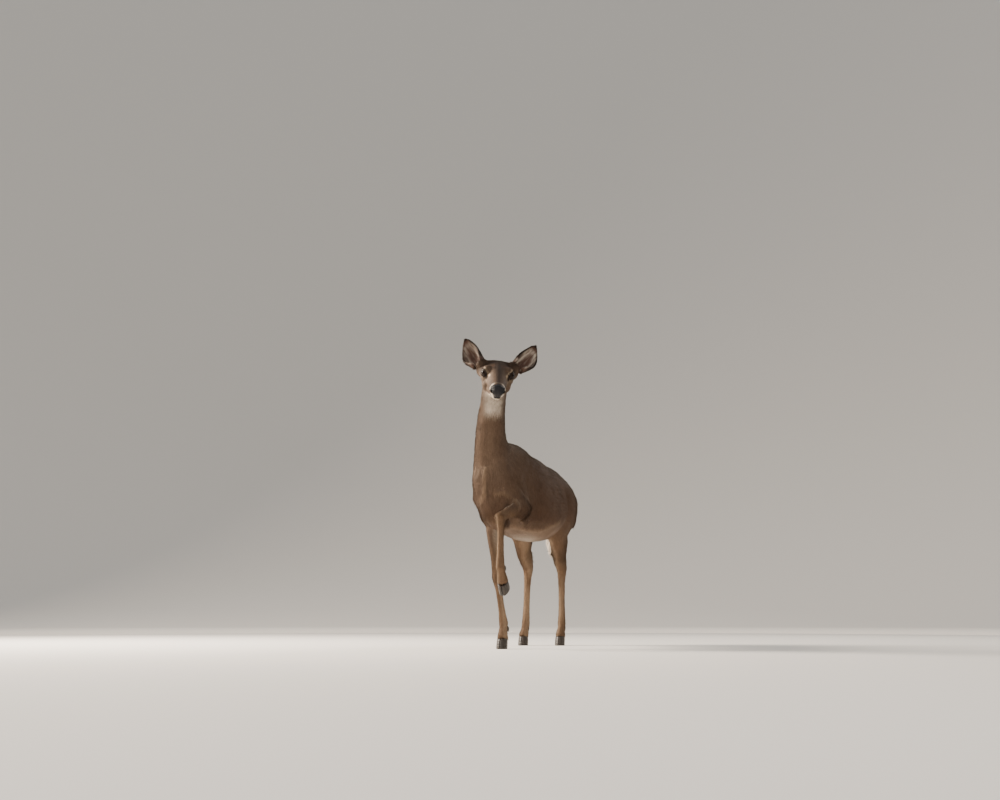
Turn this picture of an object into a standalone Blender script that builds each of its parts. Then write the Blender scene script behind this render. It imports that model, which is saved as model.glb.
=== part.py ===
"""A white-tailed doe, life size, alert on three legs with the left foreleg lifted.

Metres, +Z up.  The doe faces -Y and its left side is +X.  The origin is on the
floor, under the middle of its bounding box.  The body is made as overlapping lofted
masses that are fused and smoothed, and it is then parted by thin cuts into nodes.
"""
import math

import bmesh
import bpy
from mathutils import Matrix, Vector

# ---- driving dimensions -------------------------------------------------------
CUT_GAP = 0.0003                # between two nodes that meet at a cut
TRUNK_TILT = math.radians(6)    # the croup stands lower than the withers
TILT_PIVOT_Y, TILT_PIVOT_Z = -0.27, 0.60
HEAD_POLL = Vector((0.034, -0.455, 1.112))   # where the neck carries the head
HEAD_YAW = math.radians(19)     # turned to the doe's left
HEAD_PITCH = math.radians(29)   # nose lower than the poll
HEAD_ROLL = math.radians(6)     # left side a little lower
HEAD_LENGTH = 0.272
EYE_RADIUS = 0.0165
EYE_PLACE = (0.0500, 0.166, 0.0235)      # aside, back from the nose, up
EAR_ROOT = (0.066, 0.240, 0.036)        # likewise
EAR_LENGTH = 0.145
EAR_THICKNESS = 0.0045
EAR_COLUMNS = 12                # of faces from rim to rim
CORONET_HEIGHT = 0.040          # where the hair of a foot ends and the hooves begin
CORONET_PLACE = (0, 0.012, 0.048)   # its middle, in the foot's own frame
STANDING_LEAN = math.radians(22)    # of a pastern that bears weight
EAR_CUT = 0.004                 # from an ear's root to the cut that parts it
CANNON_CUT = {"fore_right": 0.028, "fore_left": 0.036,      # below the wrist or hock
              "hind_right": 0.045, "hind_left": 0.045}
PASTERN_CUT = 0.022             # above the fetlock
DEWCLAW_SLOPE = (math.radians(24), math.radians(-12))   # of a standing foot, of the raised one
NECK_CUT, NECK_CUT_NORMAL = (0, -0.340, 0.760), (0, -0.66, 0.75)
CLEFT = 0.0022                  # between the halves of a hoof
BODY_VOXEL = 0.006
HEAD_VOXEL = 0.0028
BODY_TRIANGLES = 3800
HEAD_TRIANGLES = 2000
SIDES = {"left": 1, "right": -1}
ACROSS = Vector((1, 0, 0))

# ---- finishes: colour, roughness ----------------------------------------------
COAT = ((0.16, 0.105, 0.068), 0.85)
COAT_PALE = ((0.34, 0.27, 0.20), 0.85)
HORN = ((0.018, 0.015, 0.013), 0.45)
EYE = ((0.010, 0.006, 0.004), 0.08)


# ---- lofts --------------------------------------------------------------------
def between(a, b, c, d, t):
    """The Catmull-Rom curve from b to c."""
    return 0.5 * (2 * b + (c - a) * t + (2 * a - 5 * b + 4 * c - d) * t * t
                  + (3 * b - a - 3 * c + d) * t ** 3)


def smooth_rows(stations, steps):
    """The stations with steps - 1 rows put in between each two."""
    rows = []
    last = len(stations) - 1
    for i in range(last):
        four = [stations[max(0, min(last, k))] for k in range(i - 1, i + 3)]
        for j in range(steps):
            rows.append([between(*column, j / steps) for column in zip(*four)])
    rows.append(list(stations[-1]))
    return rows


def domed(rows):
    """The rows with each end rounded over, so that a mass ends softly."""
    def over(end, inner):
        out = Vector(end[:3]) - Vector(inner[:3])
        out.normalize()
        reach = 0.7 * min(end[3:6])
        caps = []
        for angle in (30, 60, 80):
            turn = math.radians(angle)
            centre = Vector(end[:3]) + out * reach * math.sin(turn)
            caps.append([*centre, *(size * math.cos(turn) for size in end[3:6]), end[6]])
        return caps
    return over(rows[0], rows[1])[::-1] + rows + over(rows[-1], rows[-2])


def loft(name, stations, sides=20, steps=4, across=ACROSS):
    """A closed body through oval stations (x, y, z, half width, up, down, lean).

    "Up" is across x the path's direction: the back of the trunk and neck on a path
    that runs from head to tail, and the rear of a leg on a path that runs down it.
    A positive lean narrows the upper half and widens the lower one.
    """
    full = [tuple(s) + (0.0,) * (7 - len(s)) for s in stations]
    rows = domed(smooth_rows(full, steps))
    body = bmesh.new()
    rings = []
    for i, row in enumerate(rows):
        ahead, behind = rows[min(i + 1, len(rows) - 1)], rows[max(i - 1, 0)]
        along = (Vector(ahead[:3]) - Vector(behind[:3])).normalized()
        aside = (across - along * across.dot(along)).normalized()
        up = aside.cross(along)
        centre, half_width, rise, fall, lean = Vector(row[:3]), *row[3:]
        ring = []
        for k in range(sides):
            turn = 2 * math.pi * k / sides
            height = (rise if math.sin(turn) > 0 else fall) * math.sin(turn)
            width = half_width * math.cos(turn) * (1 - lean * math.sin(turn))
            ring.append(body.verts.new(centre + aside * width + up * height))
        rings.append(ring)
    for near, far in zip(rings, rings[1:]):
        for k in range(sides):
            following = (k + 1) % sides
            body.faces.new((near[k], near[following], far[following], far[k]))
    body.faces.new(rings[0][::-1])
    body.faces.new(rings[-1])
    bmesh.ops.recalc_face_normals(body, faces=body.faces)
    return link(name, body)


def ball(name, centre, radii, segments=24):
    """An ellipsoid."""
    body = bmesh.new()
    shape = Matrix.Translation(centre) @ Matrix.Diagonal((*radii, 1))
    bmesh.ops.create_uvsphere(body, u_segments=segments, v_segments=segments // 2 + 2,
                              radius=1, matrix=shape)
    return link(name, body)


def link(name, body):
    """A new object in the scene from a bmesh."""
    mesh = bpy.data.meshes.new(name)
    body.to_mesh(mesh)
    body.free()
    made = bpy.data.objects.new(name, mesh)
    bpy.context.scene.collection.objects.link(made)
    return made


def mirrored(side, stations):
    """Stations written for the left side, put on the given one."""
    return [(SIDES[side] * x, *rest) for x, *rest in stations]


# ---- fusing, smoothing and parting ---------------------------------------------
def baked(made):
    """The object with its modifiers applied."""
    graph = bpy.context.evaluated_depsgraph_get()
    mesh = bpy.data.meshes.new_from_object(made.evaluated_get(graph))
    mesh.transform(made.matrix_world)
    result = bpy.data.objects.new(made.name, mesh)
    bpy.context.scene.collection.objects.link(result)
    name = made.name
    bpy.data.objects.remove(made)
    result.name = name
    return result


def fused(name, masses, voxel):
    """One closed skin round all the masses."""
    body = bmesh.new()
    for mass in masses:
        mesh = mass.data.copy()
        mesh.transform(mass.matrix_world)
        body.from_mesh(mesh)
        bpy.data.objects.remove(mass)
    made = link(name, body)
    remesh = made.modifiers.new("Remesh", "REMESH")
    remesh.mode = "VOXEL"
    remesh.voxel_size = voxel
    return baked(made)


def softened(made, passes, weight=None):
    """Smooths the creases between masses. Weight says how much at each point."""
    smooth = made.modifiers.new("Smooth", "SMOOTH")
    smooth.factor, smooth.iterations = 0.5, passes
    if weight:
        group = made.vertex_groups.new(name="soft")
        for vertex in made.data.vertices:
            group.add([vertex.index], weight(vertex.co), "REPLACE")
        smooth.vertex_group = "soft"
    return baked(made)


def reduced(made, triangles):
    """The same form in about that many triangles."""
    made.data.calc_loop_triangles()
    decimate = made.modifiers.new("Decimate", "DECIMATE")
    decimate.ratio = triangles / len(made.data.loop_triangles)
    return baked(made)


def copied(made, name):
    other = bpy.data.objects.new(name, made.data.copy())
    other.matrix_world = made.matrix_world
    bpy.context.scene.collection.objects.link(other)
    return other


def sliced(made, point, normal):
    """Keeps what lies behind a plane, closed by a flat face."""
    body = bmesh.new()
    body.from_mesh(made.data)
    facing = Vector(normal).normalized()
    cut = bmesh.ops.bisect_plane(
        body, geom=body.verts[:] + body.edges[:] + body.faces[:], dist=1e-6,
        plane_co=Vector(point) - facing * CUT_GAP / 2, plane_no=facing, clear_outer=True)
    edges = [e for e in cut["geom_cut"] if isinstance(e, bmesh.types.BMEdge)]
    bmesh.ops.triangle_fill(body, edges=edges, use_beauty=True, use_dissolve=False)
    bmesh.ops.recalc_face_normals(body, faces=body.faces)
    body.to_mesh(made.data)
    body.free()
    return made


def halved(whole, name, point, normal):
    """Cuts off what lies beyond a plane, as a new object of that name."""
    beyond = sliced(copied(whole, name), point, -Vector(normal))
    sliced(whole, point, normal)
    return beyond


def prism(outline, near, far, place=Matrix()):
    """A straight block: an outline of (y, z) points drawn out from x = near to x = far."""
    body = bmesh.new()
    base = body.faces.new([body.verts.new((near, y, z)) for y, z in outline])
    raised = bmesh.ops.extrude_face_region(body, geom=[base])
    moved = [v for v in raised["geom"] if isinstance(v, bmesh.types.BMVert)]
    bmesh.ops.translate(body, verts=moved, vec=(far - near, 0, 0))
    bmesh.ops.transform(body, matrix=place, verts=body.verts)
    bmesh.ops.recalc_face_normals(body, faces=body.faces)
    return link("block", body)


def combined(made, other, operation):
    """The object after a Boolean with the other one, which stays."""
    boolean = made.modifiers.new("Boolean", "BOOLEAN")
    boolean.operation, boolean.object, boolean.solver = operation, other, "EXACT"
    return baked(made)


def grown(made, gap):
    """The same shape with its surface moved out by the gap."""
    body = bmesh.new()
    body.from_mesh(made.data)
    body.normal_update()
    steps = [vertex.normal * gap * vertex.calc_shell_factor() for vertex in body.verts]
    for vertex, step in zip(body.verts, steps):
        vertex.co += step
    body.to_mesh(made.data)
    body.free()
    return made


def parted(whole, name, block):
    """Cuts the block's contents out of the whole. Returns the rest and the new object."""
    inside = combined(copied(whole, name), block, "INTERSECT")
    rest = combined(whole, grown(block, CUT_GAP), "DIFFERENCE")
    bpy.data.objects.remove(block)
    return rest, inside


def without(whole, block):
    """The whole less what lies in the block."""
    rest, spare = parted(whole, "spare", block)
    bpy.data.objects.remove(spare)
    return rest


def pocketed(flesh, horn):
    """Makes room in the flesh for a hard piece set into it."""
    cutter = grown(copied(horn, "pocket"), 1.3 * CUT_GAP)
    flesh = combined(flesh, cutter, "DIFFERENCE")
    bpy.data.objects.remove(cutter)
    return flesh


# ---- trunk and neck -----------------------------------------------------------
def tilted(x, y, z):
    """A point of the level trunk, brought down towards the croup."""
    along, above = y - TILT_PIVOT_Y, z - TILT_PIVOT_Z
    lean, stay = math.sin(TRUNK_TILT), math.cos(TRUNK_TILT)
    return x, TILT_PIVOT_Y + along * stay + above * lean, TILT_PIVOT_Z - along * lean + above * stay


def trunk_masses():
    # Level sections: y, back line, belly line, height of the widest part, half width, lean.
    sections = (
        (-0.360, 0.785, 0.525, 0.620, 0.085, -0.10),
        (-0.320, 0.830, 0.502, 0.620, 0.102, -0.14),
        (-0.250, 0.858, 0.488, 0.620, 0.119, -0.14),
        (-0.160, 0.856, 0.486, 0.612, 0.131, -0.08),
        (-0.050, 0.853, 0.486, 0.608, 0.145, 0.00),
        (0.070, 0.866, 0.489, 0.615, 0.153, 0.02),
        (0.170, 0.874, 0.503, 0.645, 0.153, 0.00),
        (0.260, 0.876, 0.530, 0.690, 0.145, 0.00),
        (0.340, 0.861, 0.568, 0.708, 0.128, 0.00),
        (0.405, 0.822, 0.605, 0.712, 0.101, 0.00),
        (0.455, 0.768, 0.640, 0.708, 0.058, 0.00),
    )
    stations = [(*tilted(0, y, z), wide, top - z, z - low, lean)
                for y, top, low, z, wide, lean in sections]
    breast = (
        (-0.014, -0.360, 0.770, 0.062, 0.050, 0.052),
        (-0.012, -0.380, 0.690, 0.085, 0.070, 0.056),
        (0.000, -0.382, 0.610, 0.078, 0.085, 0.052),
        (0.000, -0.360, 0.540, 0.062, 0.085, 0.044),
        (0.000, -0.315, 0.502, 0.044, 0.070, 0.028),
    )
    return [loft("barrel", stations, sides=28), loft("breast", breast)]


NECK = (
    (0.034, -0.462, 1.100, 0.044, 0.040, 0.046, 0.0),
    (0.025, -0.449, 1.060, 0.049, 0.050, 0.056, 0.0),
    (0.009, -0.428, 0.998, 0.051, 0.056, 0.062, 0.0),
    (-0.010, -0.400, 0.920, 0.057, 0.064, 0.069, 0.0),
    (-0.024, -0.366, 0.845, 0.063, 0.082, 0.082, 0.0),
    (-0.025, -0.332, 0.770, 0.080, 0.114, 0.102, 0.0),
    (-0.019, -0.295, 0.690, 0.105, 0.128, 0.120, 0.0),
    (0.000, -0.262, 0.620, 0.100, 0.120, 0.135, 0.0),
)


def neck_masses():
    return [loft("neck", NECK, sides=24)]


# ---- head ---------------------------------------------------------------------
def head_frame():
    """Aside to the doe's left, back from the nose to the poll, and up through the brow."""
    yaw = Matrix.Rotation(HEAD_YAW, 4, "Z")
    pitch = Matrix.Rotation(HEAD_PITCH, 4, "X")
    roll = Matrix.Rotation(HEAD_ROLL, 4, "Y")
    turned = yaw @ pitch @ roll
    nose = HEAD_POLL - turned @ Vector((0, HEAD_LENGTH * 0.93, 0.012))
    return Matrix.Translation(nose) @ turned


def head_masses():
    """Muzzle, skull, lower jaw, cheeks and brows, in the frame of the head."""
    # Back from the nose, half width, up, down, lean.
    upper = (
        (0.004, 0.022, 0.019, 0.020, 0.00),
        (0.014, 0.029, 0.027, 0.027, 0.00),
        (0.036, 0.031, 0.031, 0.031, 0.00),
        (0.070, 0.033, 0.037, 0.033, 0.02),
        (0.105, 0.037, 0.044, 0.034, 0.06),
        (0.138, 0.043, 0.051, 0.038, 0.04),
        (0.168, 0.052, 0.054, 0.044, 0.00),
        (0.198, 0.061, 0.057, 0.050, -0.04),
        (0.228, 0.062, 0.057, 0.054, -0.04),
        (0.256, 0.052, 0.051, 0.052, 0.00),
        (0.276, 0.038, 0.040, 0.042, 0.00),
    )
    # Back from the nose, height, half width, up, down.
    jaw = (
        (0.014, -0.020, 0.018, 0.012, 0.015),
        (0.046, -0.023, 0.023, 0.016, 0.021),
        (0.095, -0.027, 0.029, 0.020, 0.024),
        (0.140, -0.032, 0.040, 0.028, 0.032),
        (0.180, -0.034, 0.050, 0.034, 0.044),
        (0.215, -0.034, 0.050, 0.036, 0.046),
        (0.245, -0.030, 0.042, 0.036, 0.036),
    )
    masses = [
        loft("skull", [(0, u, 0, *sizes) for u, *sizes in upper], sides=24),
        loft("jaw", [(0, u, z, *sizes) for u, z, *sizes in jaw], sides=20),
        ball("nose pad", (0, 0.010, 0.006), (0.024, 0.013, 0.020)),
        ball("crown", (0, 0.236, 0.029), (0.074, 0.028, 0.029)),
    ]
    for side, sign in SIDES.items():
        masses += [
            ball(f"orbit {side}", (sign * 0.0390, 0.180, 0.020), (0.0235, 0.028, 0.025)),
            ball(f"brow {side}", (sign * 0.0400, 0.178, 0.038), (0.0195, 0.026, 0.012)),
            ball(f"cheek {side}", (sign * 0.042, 0.180, -0.020), (0.017, 0.044, 0.034)),
            ball(f"cheekbone {side}", (sign * 0.047, 0.190, 0.000), (0.019, 0.044, 0.024)),
            ball(f"temple {side}", (sign * 0.050, 0.216, 0.010), (0.023, 0.036, 0.030)),
            ball(f"nostril wing {side}", (sign * 0.017, 0.016, 0.006), (0.012, 0.014, 0.014)),
            ball(f"ear root {side}", (sign * 0.060, 0.238, 0.015), (0.026, 0.028, 0.034)),
            ball(f"ear base {side}", (sign * EAR_ROOT[0], *EAR_ROOT[1:]), (0.025, 0.027, 0.025)),
        ]
    place = head_frame()
    for mass in masses:
        mass.matrix_world = place
    return masses


def eye_centre(side):
    aside, back, up = EYE_PLACE
    return head_frame() @ Vector((SIDES[side] * aside, back, up))


# ---- ears ---------------------------------------------------------------------
EAR_ALONG = {"left": (0.46, 0.55, 0.69), "right": (-0.58, 0.21, 0.79)}
EAR_FACING = Vector((0.20, -1.0, 0.05))       # the way the hollow of an ear looks


def ear_axes(side):
    """Root, long axis, way the hollow looks and width of an ear."""
    root = head_frame() @ Vector((SIDES[side] * EAR_ROOT[0], *EAR_ROOT[1:]))
    along = Vector(EAR_ALONG[side]).normalized()
    facing = EAR_FACING + Vector((SIDES[side] * 0.25, 0, 0))
    facing = (facing - along * facing.dot(along)).normalized()
    return root, along, facing, along.cross(facing)


def ear(side):
    """A leaf rolled into a cup: nearly a tube at its root and almost flat at its tip."""
    # Share of the length, half width, half angle of the roll.
    outline = (
        (-0.10, 0.0190, 158),
        (0.00, 0.0235, 150),
        (0.12, 0.0300, 134),
        (0.26, 0.0360, 112),
        (0.42, 0.0390, 90),
        (0.56, 0.0380, 76),
        (0.70, 0.0330, 64),
        (0.83, 0.0250, 54),
        (0.93, 0.0160, 46),
        (0.985, 0.0070, 40),
        (1.005, 0.0020, 34),
    )
    root, along, facing, width = ear_axes(side)
    outward = width * SIDES[side]       # the outer rim bulges more than the inner one
    body = bmesh.new()
    rows = []
    for share, half_width, half_angle in smooth_rows(outline, 1):
        half = math.radians(half_angle)
        radius = half_width / math.sin(min(half, math.pi / 2))
        bow = 0.012 * math.sin(math.pi * min(1, max(0, share)))
        spread = bow + 0.008 * (1 - share)
        hollow = 0.45 * min(1.0, max(0.0, share) / 0.25)
        centre = root + along * share * EAR_LENGTH - facing * bow + outward * spread
        row = []
        for k in range(EAR_COLUMNS + 1):
            turn = half * (2 * k / EAR_COLUMNS - 1)
            offset = width * math.sin(turn) - facing * (math.cos(turn) - hollow)
            row.append(body.verts.new(centre + offset * radius))
        rows.append(row)
    for near, far in zip(rows, rows[1:]):
        for k in range(EAR_COLUMNS):
            body.faces.new((near[k], near[k + 1], far[k + 1], far[k]))
    made = link(f"ear_{side}", body)
    shell = made.modifiers.new("Thickness", "SOLIDIFY")
    shell.thickness, shell.offset = EAR_THICKNESS, 0.0
    return sliced(baked(made), root + along * EAR_CUT, -along)


# ---- legs ---------------------------------------------------------------------
def fore_shoulder(side, elbow):
    """Shoulder blade and upper arm, lying on the barrel."""
    blade = mirrored(side, (
        (0.020, -0.205, 0.795, 0.014, 0.050, 0.045),
        (0.052, -0.265, 0.730, 0.032, 0.085, 0.075),
        (0.070, -0.318, 0.660, 0.038, 0.095, 0.070),
        (0.060 + 0.12 * abs(elbow[0]), -0.340, 0.600, 0.036, 0.080, 0.060),
    ))
    outward = abs(elbow[0]) + 0.012
    arm = [
        (SIDES[side] * 0.074, -0.348, 0.630, 0.034, 0.060, 0.056),
        (SIDES[side] * (outward * 0.5 + 0.034), -0.312, 0.575, 0.033, 0.060, 0.050),
        (*elbow, 0.031, 0.044, 0.040),
    ]
    return [
        loft(f"blade {side}", blade),
        loft(f"arm {side}", arm),
        ball(f"triceps {side}", (SIDES[side] * 0.078, -0.240, 0.610), (0.038, 0.085, 0.105)),
        ball(f"point of elbow {side}", Vector(elbow) + Vector((SIDES[side] * 0.006, 0.032, -0.004)),
             (0.020, 0.028, 0.034)),
    ]


FORE_BONES = {
    # Elbow, wrist, fetlock, coronet: where the joints of each foreleg are.
    "right": ((-0.045, -0.272, 0.505), (-0.018, -0.300, 0.290),
              (0.008, -0.296, 0.105), (0.013, -0.318, 0.048)),
    "left": ((0.100, -0.334, 0.570), (0.061, -0.492, 0.512),
             (0.063, -0.506, 0.322), (0.063, -0.478, 0.270)),
}
HIND_BONES = {
    # Stifle, hock, fetlock, coronet.
    "left": ((0.086, 0.165, 0.520), (0.073, 0.375, 0.350),
             (0.077, 0.353, 0.100), (0.078, 0.326, 0.048)),
    "right": ((-0.079, 0.148, 0.522), (-0.077, 0.336, 0.352),
              (-0.082, 0.314, 0.100), (-0.083, 0.287, 0.048)),
}

LEG_BONES = {
    **{f"fore_{side}": bones for side, bones in FORE_BONES.items()},
    **{f"hind_{side}": bones for side, bones in HIND_BONES.items()},
}
RAISED_LEG = "fore_left"


def path(bones, sections):
    """Stations on a chain of joints. Sections give a bone's index and share along it."""
    stations = []
    for bone, share, back, *sizes in sections:
        point = Vector(bones[bone]).lerp(Vector(bones[bone + 1]), share)
        stations.append((point.x, point.y + back, point.z, *sizes))
    return stations


def fore_leg(side):
    bones = FORE_BONES[side]
    forearm = (
        (0, -0.12, 0, 0.031, 0.046, 0.044),
        (0, 0.15, 0, 0.029, 0.043, 0.041),
        (0, 0.40, 0, 0.0245, 0.033, 0.033),
        (0, 0.70, 0, 0.0195, 0.0215, 0.0235),
        (0, 0.92, 0, 0.0200, 0.0190, 0.0220),
    )
    cannon = (
        (1, -0.04, 0, 0.0215, 0.0215, 0.0225),
        (1, 0.10, 0, 0.0195, 0.0200, 0.0190),
        (1, 0.28, 0, 0.0145, 0.0165, 0.0150),
        (1, 0.60, 0, 0.0135, 0.0155, 0.0140),
        (1, 0.88, 0, 0.0160, 0.0180, 0.0160),
        (1, 1.00, 0, 0.0185, 0.0205, 0.0175),
    )
    return [
        loft(f"forearm {side}", path(bones, forearm)),
        loft(f"cannon {side}", path(bones, cannon)),
        *foot(f"fore {side}", bones),
        *fore_shoulder(side, bones[0]),
    ]


def foot(name, bones):
    """The pastern, from the fetlock down into the hooves."""
    pastern = (
        (2, 0.00, 0, 0.0185, 0.0190, 0.0185),
        (2, 0.35, 0, 0.0165, 0.0155, 0.0165),
        (2, 0.70, 0, 0.0190, 0.0170, 0.0190),
        (2, 1.05, 0, 0.0225, 0.0205, 0.0240),
    )
    return [loft(f"pastern {name}", path(bones, pastern))]


def hind_leg(side):
    bones = HIND_BONES[side]
    sign = SIDES[side]
    stifle, hock = Vector(bones[0]), Vector(bones[1])
    shift = stifle.y - 0.170
    thigh = (
        (sign * 0.058, 0.300, 0.735, 0.048, 0.120, 0.100),
        (sign * 0.090, 0.285, 0.670, 0.067, 0.165, 0.155),
        (sign * 0.096, 0.272, 0.605, 0.067, 0.166, 0.156),
        (sign * 0.092, 0.262 + shift * 0.5, 0.545, 0.059, 0.148, 0.134),
        (stifle.x, 0.274 + shift * 0.8, 0.488, 0.041, 0.112, 0.080),
        (stifle.x, 0.294 + shift * 0.8, 0.450, 0.036, 0.080, 0.058),
    )
    gaskin = (
        (stifle.x, 0.283 + shift * 0.8, 0.470, 0.037, 0.086, 0.062),
        ((stifle.x + hock.x) / 2, hock.y - 0.062, hock.z + 0.074, 0.0320, 0.064, 0.048),
        (hock.x, hock.y - 0.034, hock.z + 0.037, 0.0275, 0.050, 0.036),
        (hock.x, hock.y - 0.006, hock.z + 0.004, 0.0245, 0.034, 0.030),
        (hock.x, hock.y, hock.z - 0.030, 0.0190, 0.025, 0.022),
    )
    cannon = (
        (1, 0.06, 0, 0.0200, 0.026, 0.022),
        (1, 0.20, 0, 0.0165, 0.0195, 0.0180),
        (1, 0.50, 0, 0.0145, 0.0175, 0.0155),
        (1, 0.85, 0, 0.0160, 0.0185, 0.0160),
        (1, 1.00, 0, 0.0190, 0.0210, 0.0180),
    )
    heel = (
        (hock.x, hock.y - 0.052, hock.z + 0.108, 0.0085, 0.010, 0.016),
        (hock.x, hock.y + 0.012, hock.z + 0.053, 0.0115, 0.012, 0.016),
        (hock.x, hock.y + 0.026, hock.z + 0.033, 0.0130, 0.013, 0.018),
        (hock.x, hock.y + 0.014, hock.z - 0.009, 0.0140, 0.012, 0.020),
    )
    return [
        loft(f"thigh {side}", thigh, sides=24),
        loft(f"gaskin {side}", gaskin),
        loft(f"heel {side}", heel, sides=16),
        loft(f"hind cannon {side}", path(bones, cannon)),
        *foot(f"hind {side}", bones),
    ]


def tail_masses():
    """A flat, broad tail, hanging against the rump."""
    return [loft("tail", (
        (0.000, *tilted(0, 0.420, 0.775)[1:], 0.022, 0.018, 0.018),
        (0.000, *tilted(0, 0.462, 0.735)[1:], 0.027, 0.019, 0.018),
        (0.002, *tilted(0, 0.482, 0.670)[1:], 0.034, 0.020, 0.018),
        (0.004, *tilted(0, 0.484, 0.600)[1:], 0.037, 0.019, 0.017),
        (0.006, *tilted(0, 0.478, 0.540)[1:], 0.029, 0.015, 0.014),
        (0.007, *tilted(0, 0.470, 0.505)[1:], 0.015, 0.009, 0.009),
    ))]


# ---- hooves and dewclaws ------------------------------------------------------
def foot_place(leg):
    """From a foot's own frame (sole at z = 0, heel towards +y) to the model."""
    bones = LEG_BONES[leg]
    coronet, fetlock = Vector(bones[3]), Vector(bones[2])
    lean = math.atan2(fetlock.y - coronet.y, fetlock.z - coronet.z)
    turn = Matrix.Rotation(STANDING_LEAN - lean if leg == RAISED_LEG else 0, 4, "X")
    return Matrix.Translation(coronet) @ turn @ Matrix.Translation(-Vector(CORONET_PLACE))


def hoof(leg, half):
    """One half of a cloven hoof: straight at the cleft, rounded outside, pointed in front."""
    # Height, toe, heel, width.
    levels = (
        (CORONET_HEIGHT - CUT_GAP, -0.020, 0.026, 0.0205),
        (0.024, -0.027, 0.027, 0.0225),
        (0.003, -0.034, 0.025, 0.0225),
        (0.000, -0.032, 0.024, 0.0205),
    )
    sign = {"inner": -1, "outer": 1}[half] * SIDES[leg.split("_")[1]]
    body = bmesh.new()
    rings = []
    for height, toe, heel, width in levels:
        ring = []
        for k in range(14):
            turn = 2 * math.pi * k / 14
            along = (1 - math.cos(turn)) / 2
            out = max(0, math.sin(turn)) ** 0.8 * (1 - 0.25 * (1 - along))
            x = CLEFT / 2 + width * out + 0.0012 * (1 - abs(2 * along - 1))
            ring.append(body.verts.new((sign * x, toe + (heel - toe) * along, height)))
        rings.append(ring)
    for near, far in zip(rings, rings[1:]):
        for k in range(14):
            following = (k + 1) % 14
            body.faces.new((near[k], near[following], far[following], far[k]))
    body.faces.new(rings[0])
    body.faces.new(rings[-1])
    bmesh.ops.transform(body, matrix=foot_place(leg), verts=body.verts)
    bmesh.ops.recalc_face_normals(body, faces=body.faces)
    return link(f"hoof_{leg}_{half}", body)


def dewclaw(leg, half):
    """A small horn behind the fetlock, tapering down and back."""
    sign = {"inner": -1, "outer": 1}[half] * SIDES[leg.split("_")[1]]
    body = bmesh.new()
    bmesh.ops.create_uvsphere(body, u_segments=7, v_segments=5, radius=1)
    for vertex in body.verts:
        slim = 1 - 0.30 * max(0, -vertex.co.z)
        vertex.co.x *= slim
        vertex.co.y *= slim
    slope = Matrix.Rotation(DEWCLAW_SLOPE[leg == RAISED_LEG], 4, "X")
    shape = (foot_place(leg) @ Matrix.Translation((sign * 0.0112, 0.0435, 0.078))
             @ slope @ Matrix.Diagonal((0.0060, 0.0078, 0.0135, 1)))
    bmesh.ops.transform(body, matrix=shape, verts=body.verts)
    return link(f"dewclaw_{leg}_{half}", body)


# ---- the doe ------------------------------------------------------------------
def clear_scene():
    for old in list(bpy.data.objects):
        bpy.data.objects.remove(old)


def whole_body():
    """Neck, trunk, tail and legs as one skin."""
    masses = trunk_masses() + neck_masses() + tail_masses()
    for side in SIDES:
        masses += fore_leg(side) + hind_leg(side)
    body = softened(fused("trunk", masses, BODY_VOXEL), 5)

    def on_trunk(point):
        raised_arm = point.y < -0.40 and point.z < 0.575
        behind = point.y > 0.44 and abs(point.x) < 0.045
        return 0.0 if raised_arm or behind else max(0.0, min(1.0, (point.z - 0.50) / 0.08))
    return reduced(softened(body, 45, on_trunk), BODY_TRIANGLES)


def whole_head():
    """Head and the top of the neck as one skin."""
    head = softened(fused("skull and throat", head_masses() + neck_masses(), HEAD_VOXEL), 6)
    to_head = head_frame().inverted()

    def behind_muzzle(point):
        return max(0.0, min(1.0, ((to_head @ point).y - 0.10) / 0.06))
    return reduced(softened(head, 24, behind_muzzle), HEAD_TRIANGLES)


def ear_block(side):
    """All that lies beyond the root of an ear."""
    root, along, facing, width = ear_axes(side)
    base = Matrix((along, facing, width)).transposed().to_4x4()
    square = ((-0.08, -0.08), (0.08, -0.08), (0.08, 0.08), (-0.08, 0.08))
    return prism(square, 0, 0.25, Matrix.Translation(root + along * EAR_CUT) @ base)


def head_block():
    """All that belongs to the head and not to the neck."""
    outline = ((-0.10, -0.110), (0.225, -0.110), (0.262, 0.000), (0.270, 0.20), (-0.10, 0.20))
    return prism(outline, -0.2, 0.2, head_frame())


def divide_head(head):
    """Head, ears and eyes, from the skin of skull and throat."""
    spare, head = parted(head, "head", head_block())
    bpy.data.objects.remove(spare)
    for side in SIDES:
        head = without(head, ear_block(side))
        ear(side)
        head = pocketed(head, ball(f"eye_{side}", eye_centre(side), (EYE_RADIUS,) * 3, segments=16))


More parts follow.
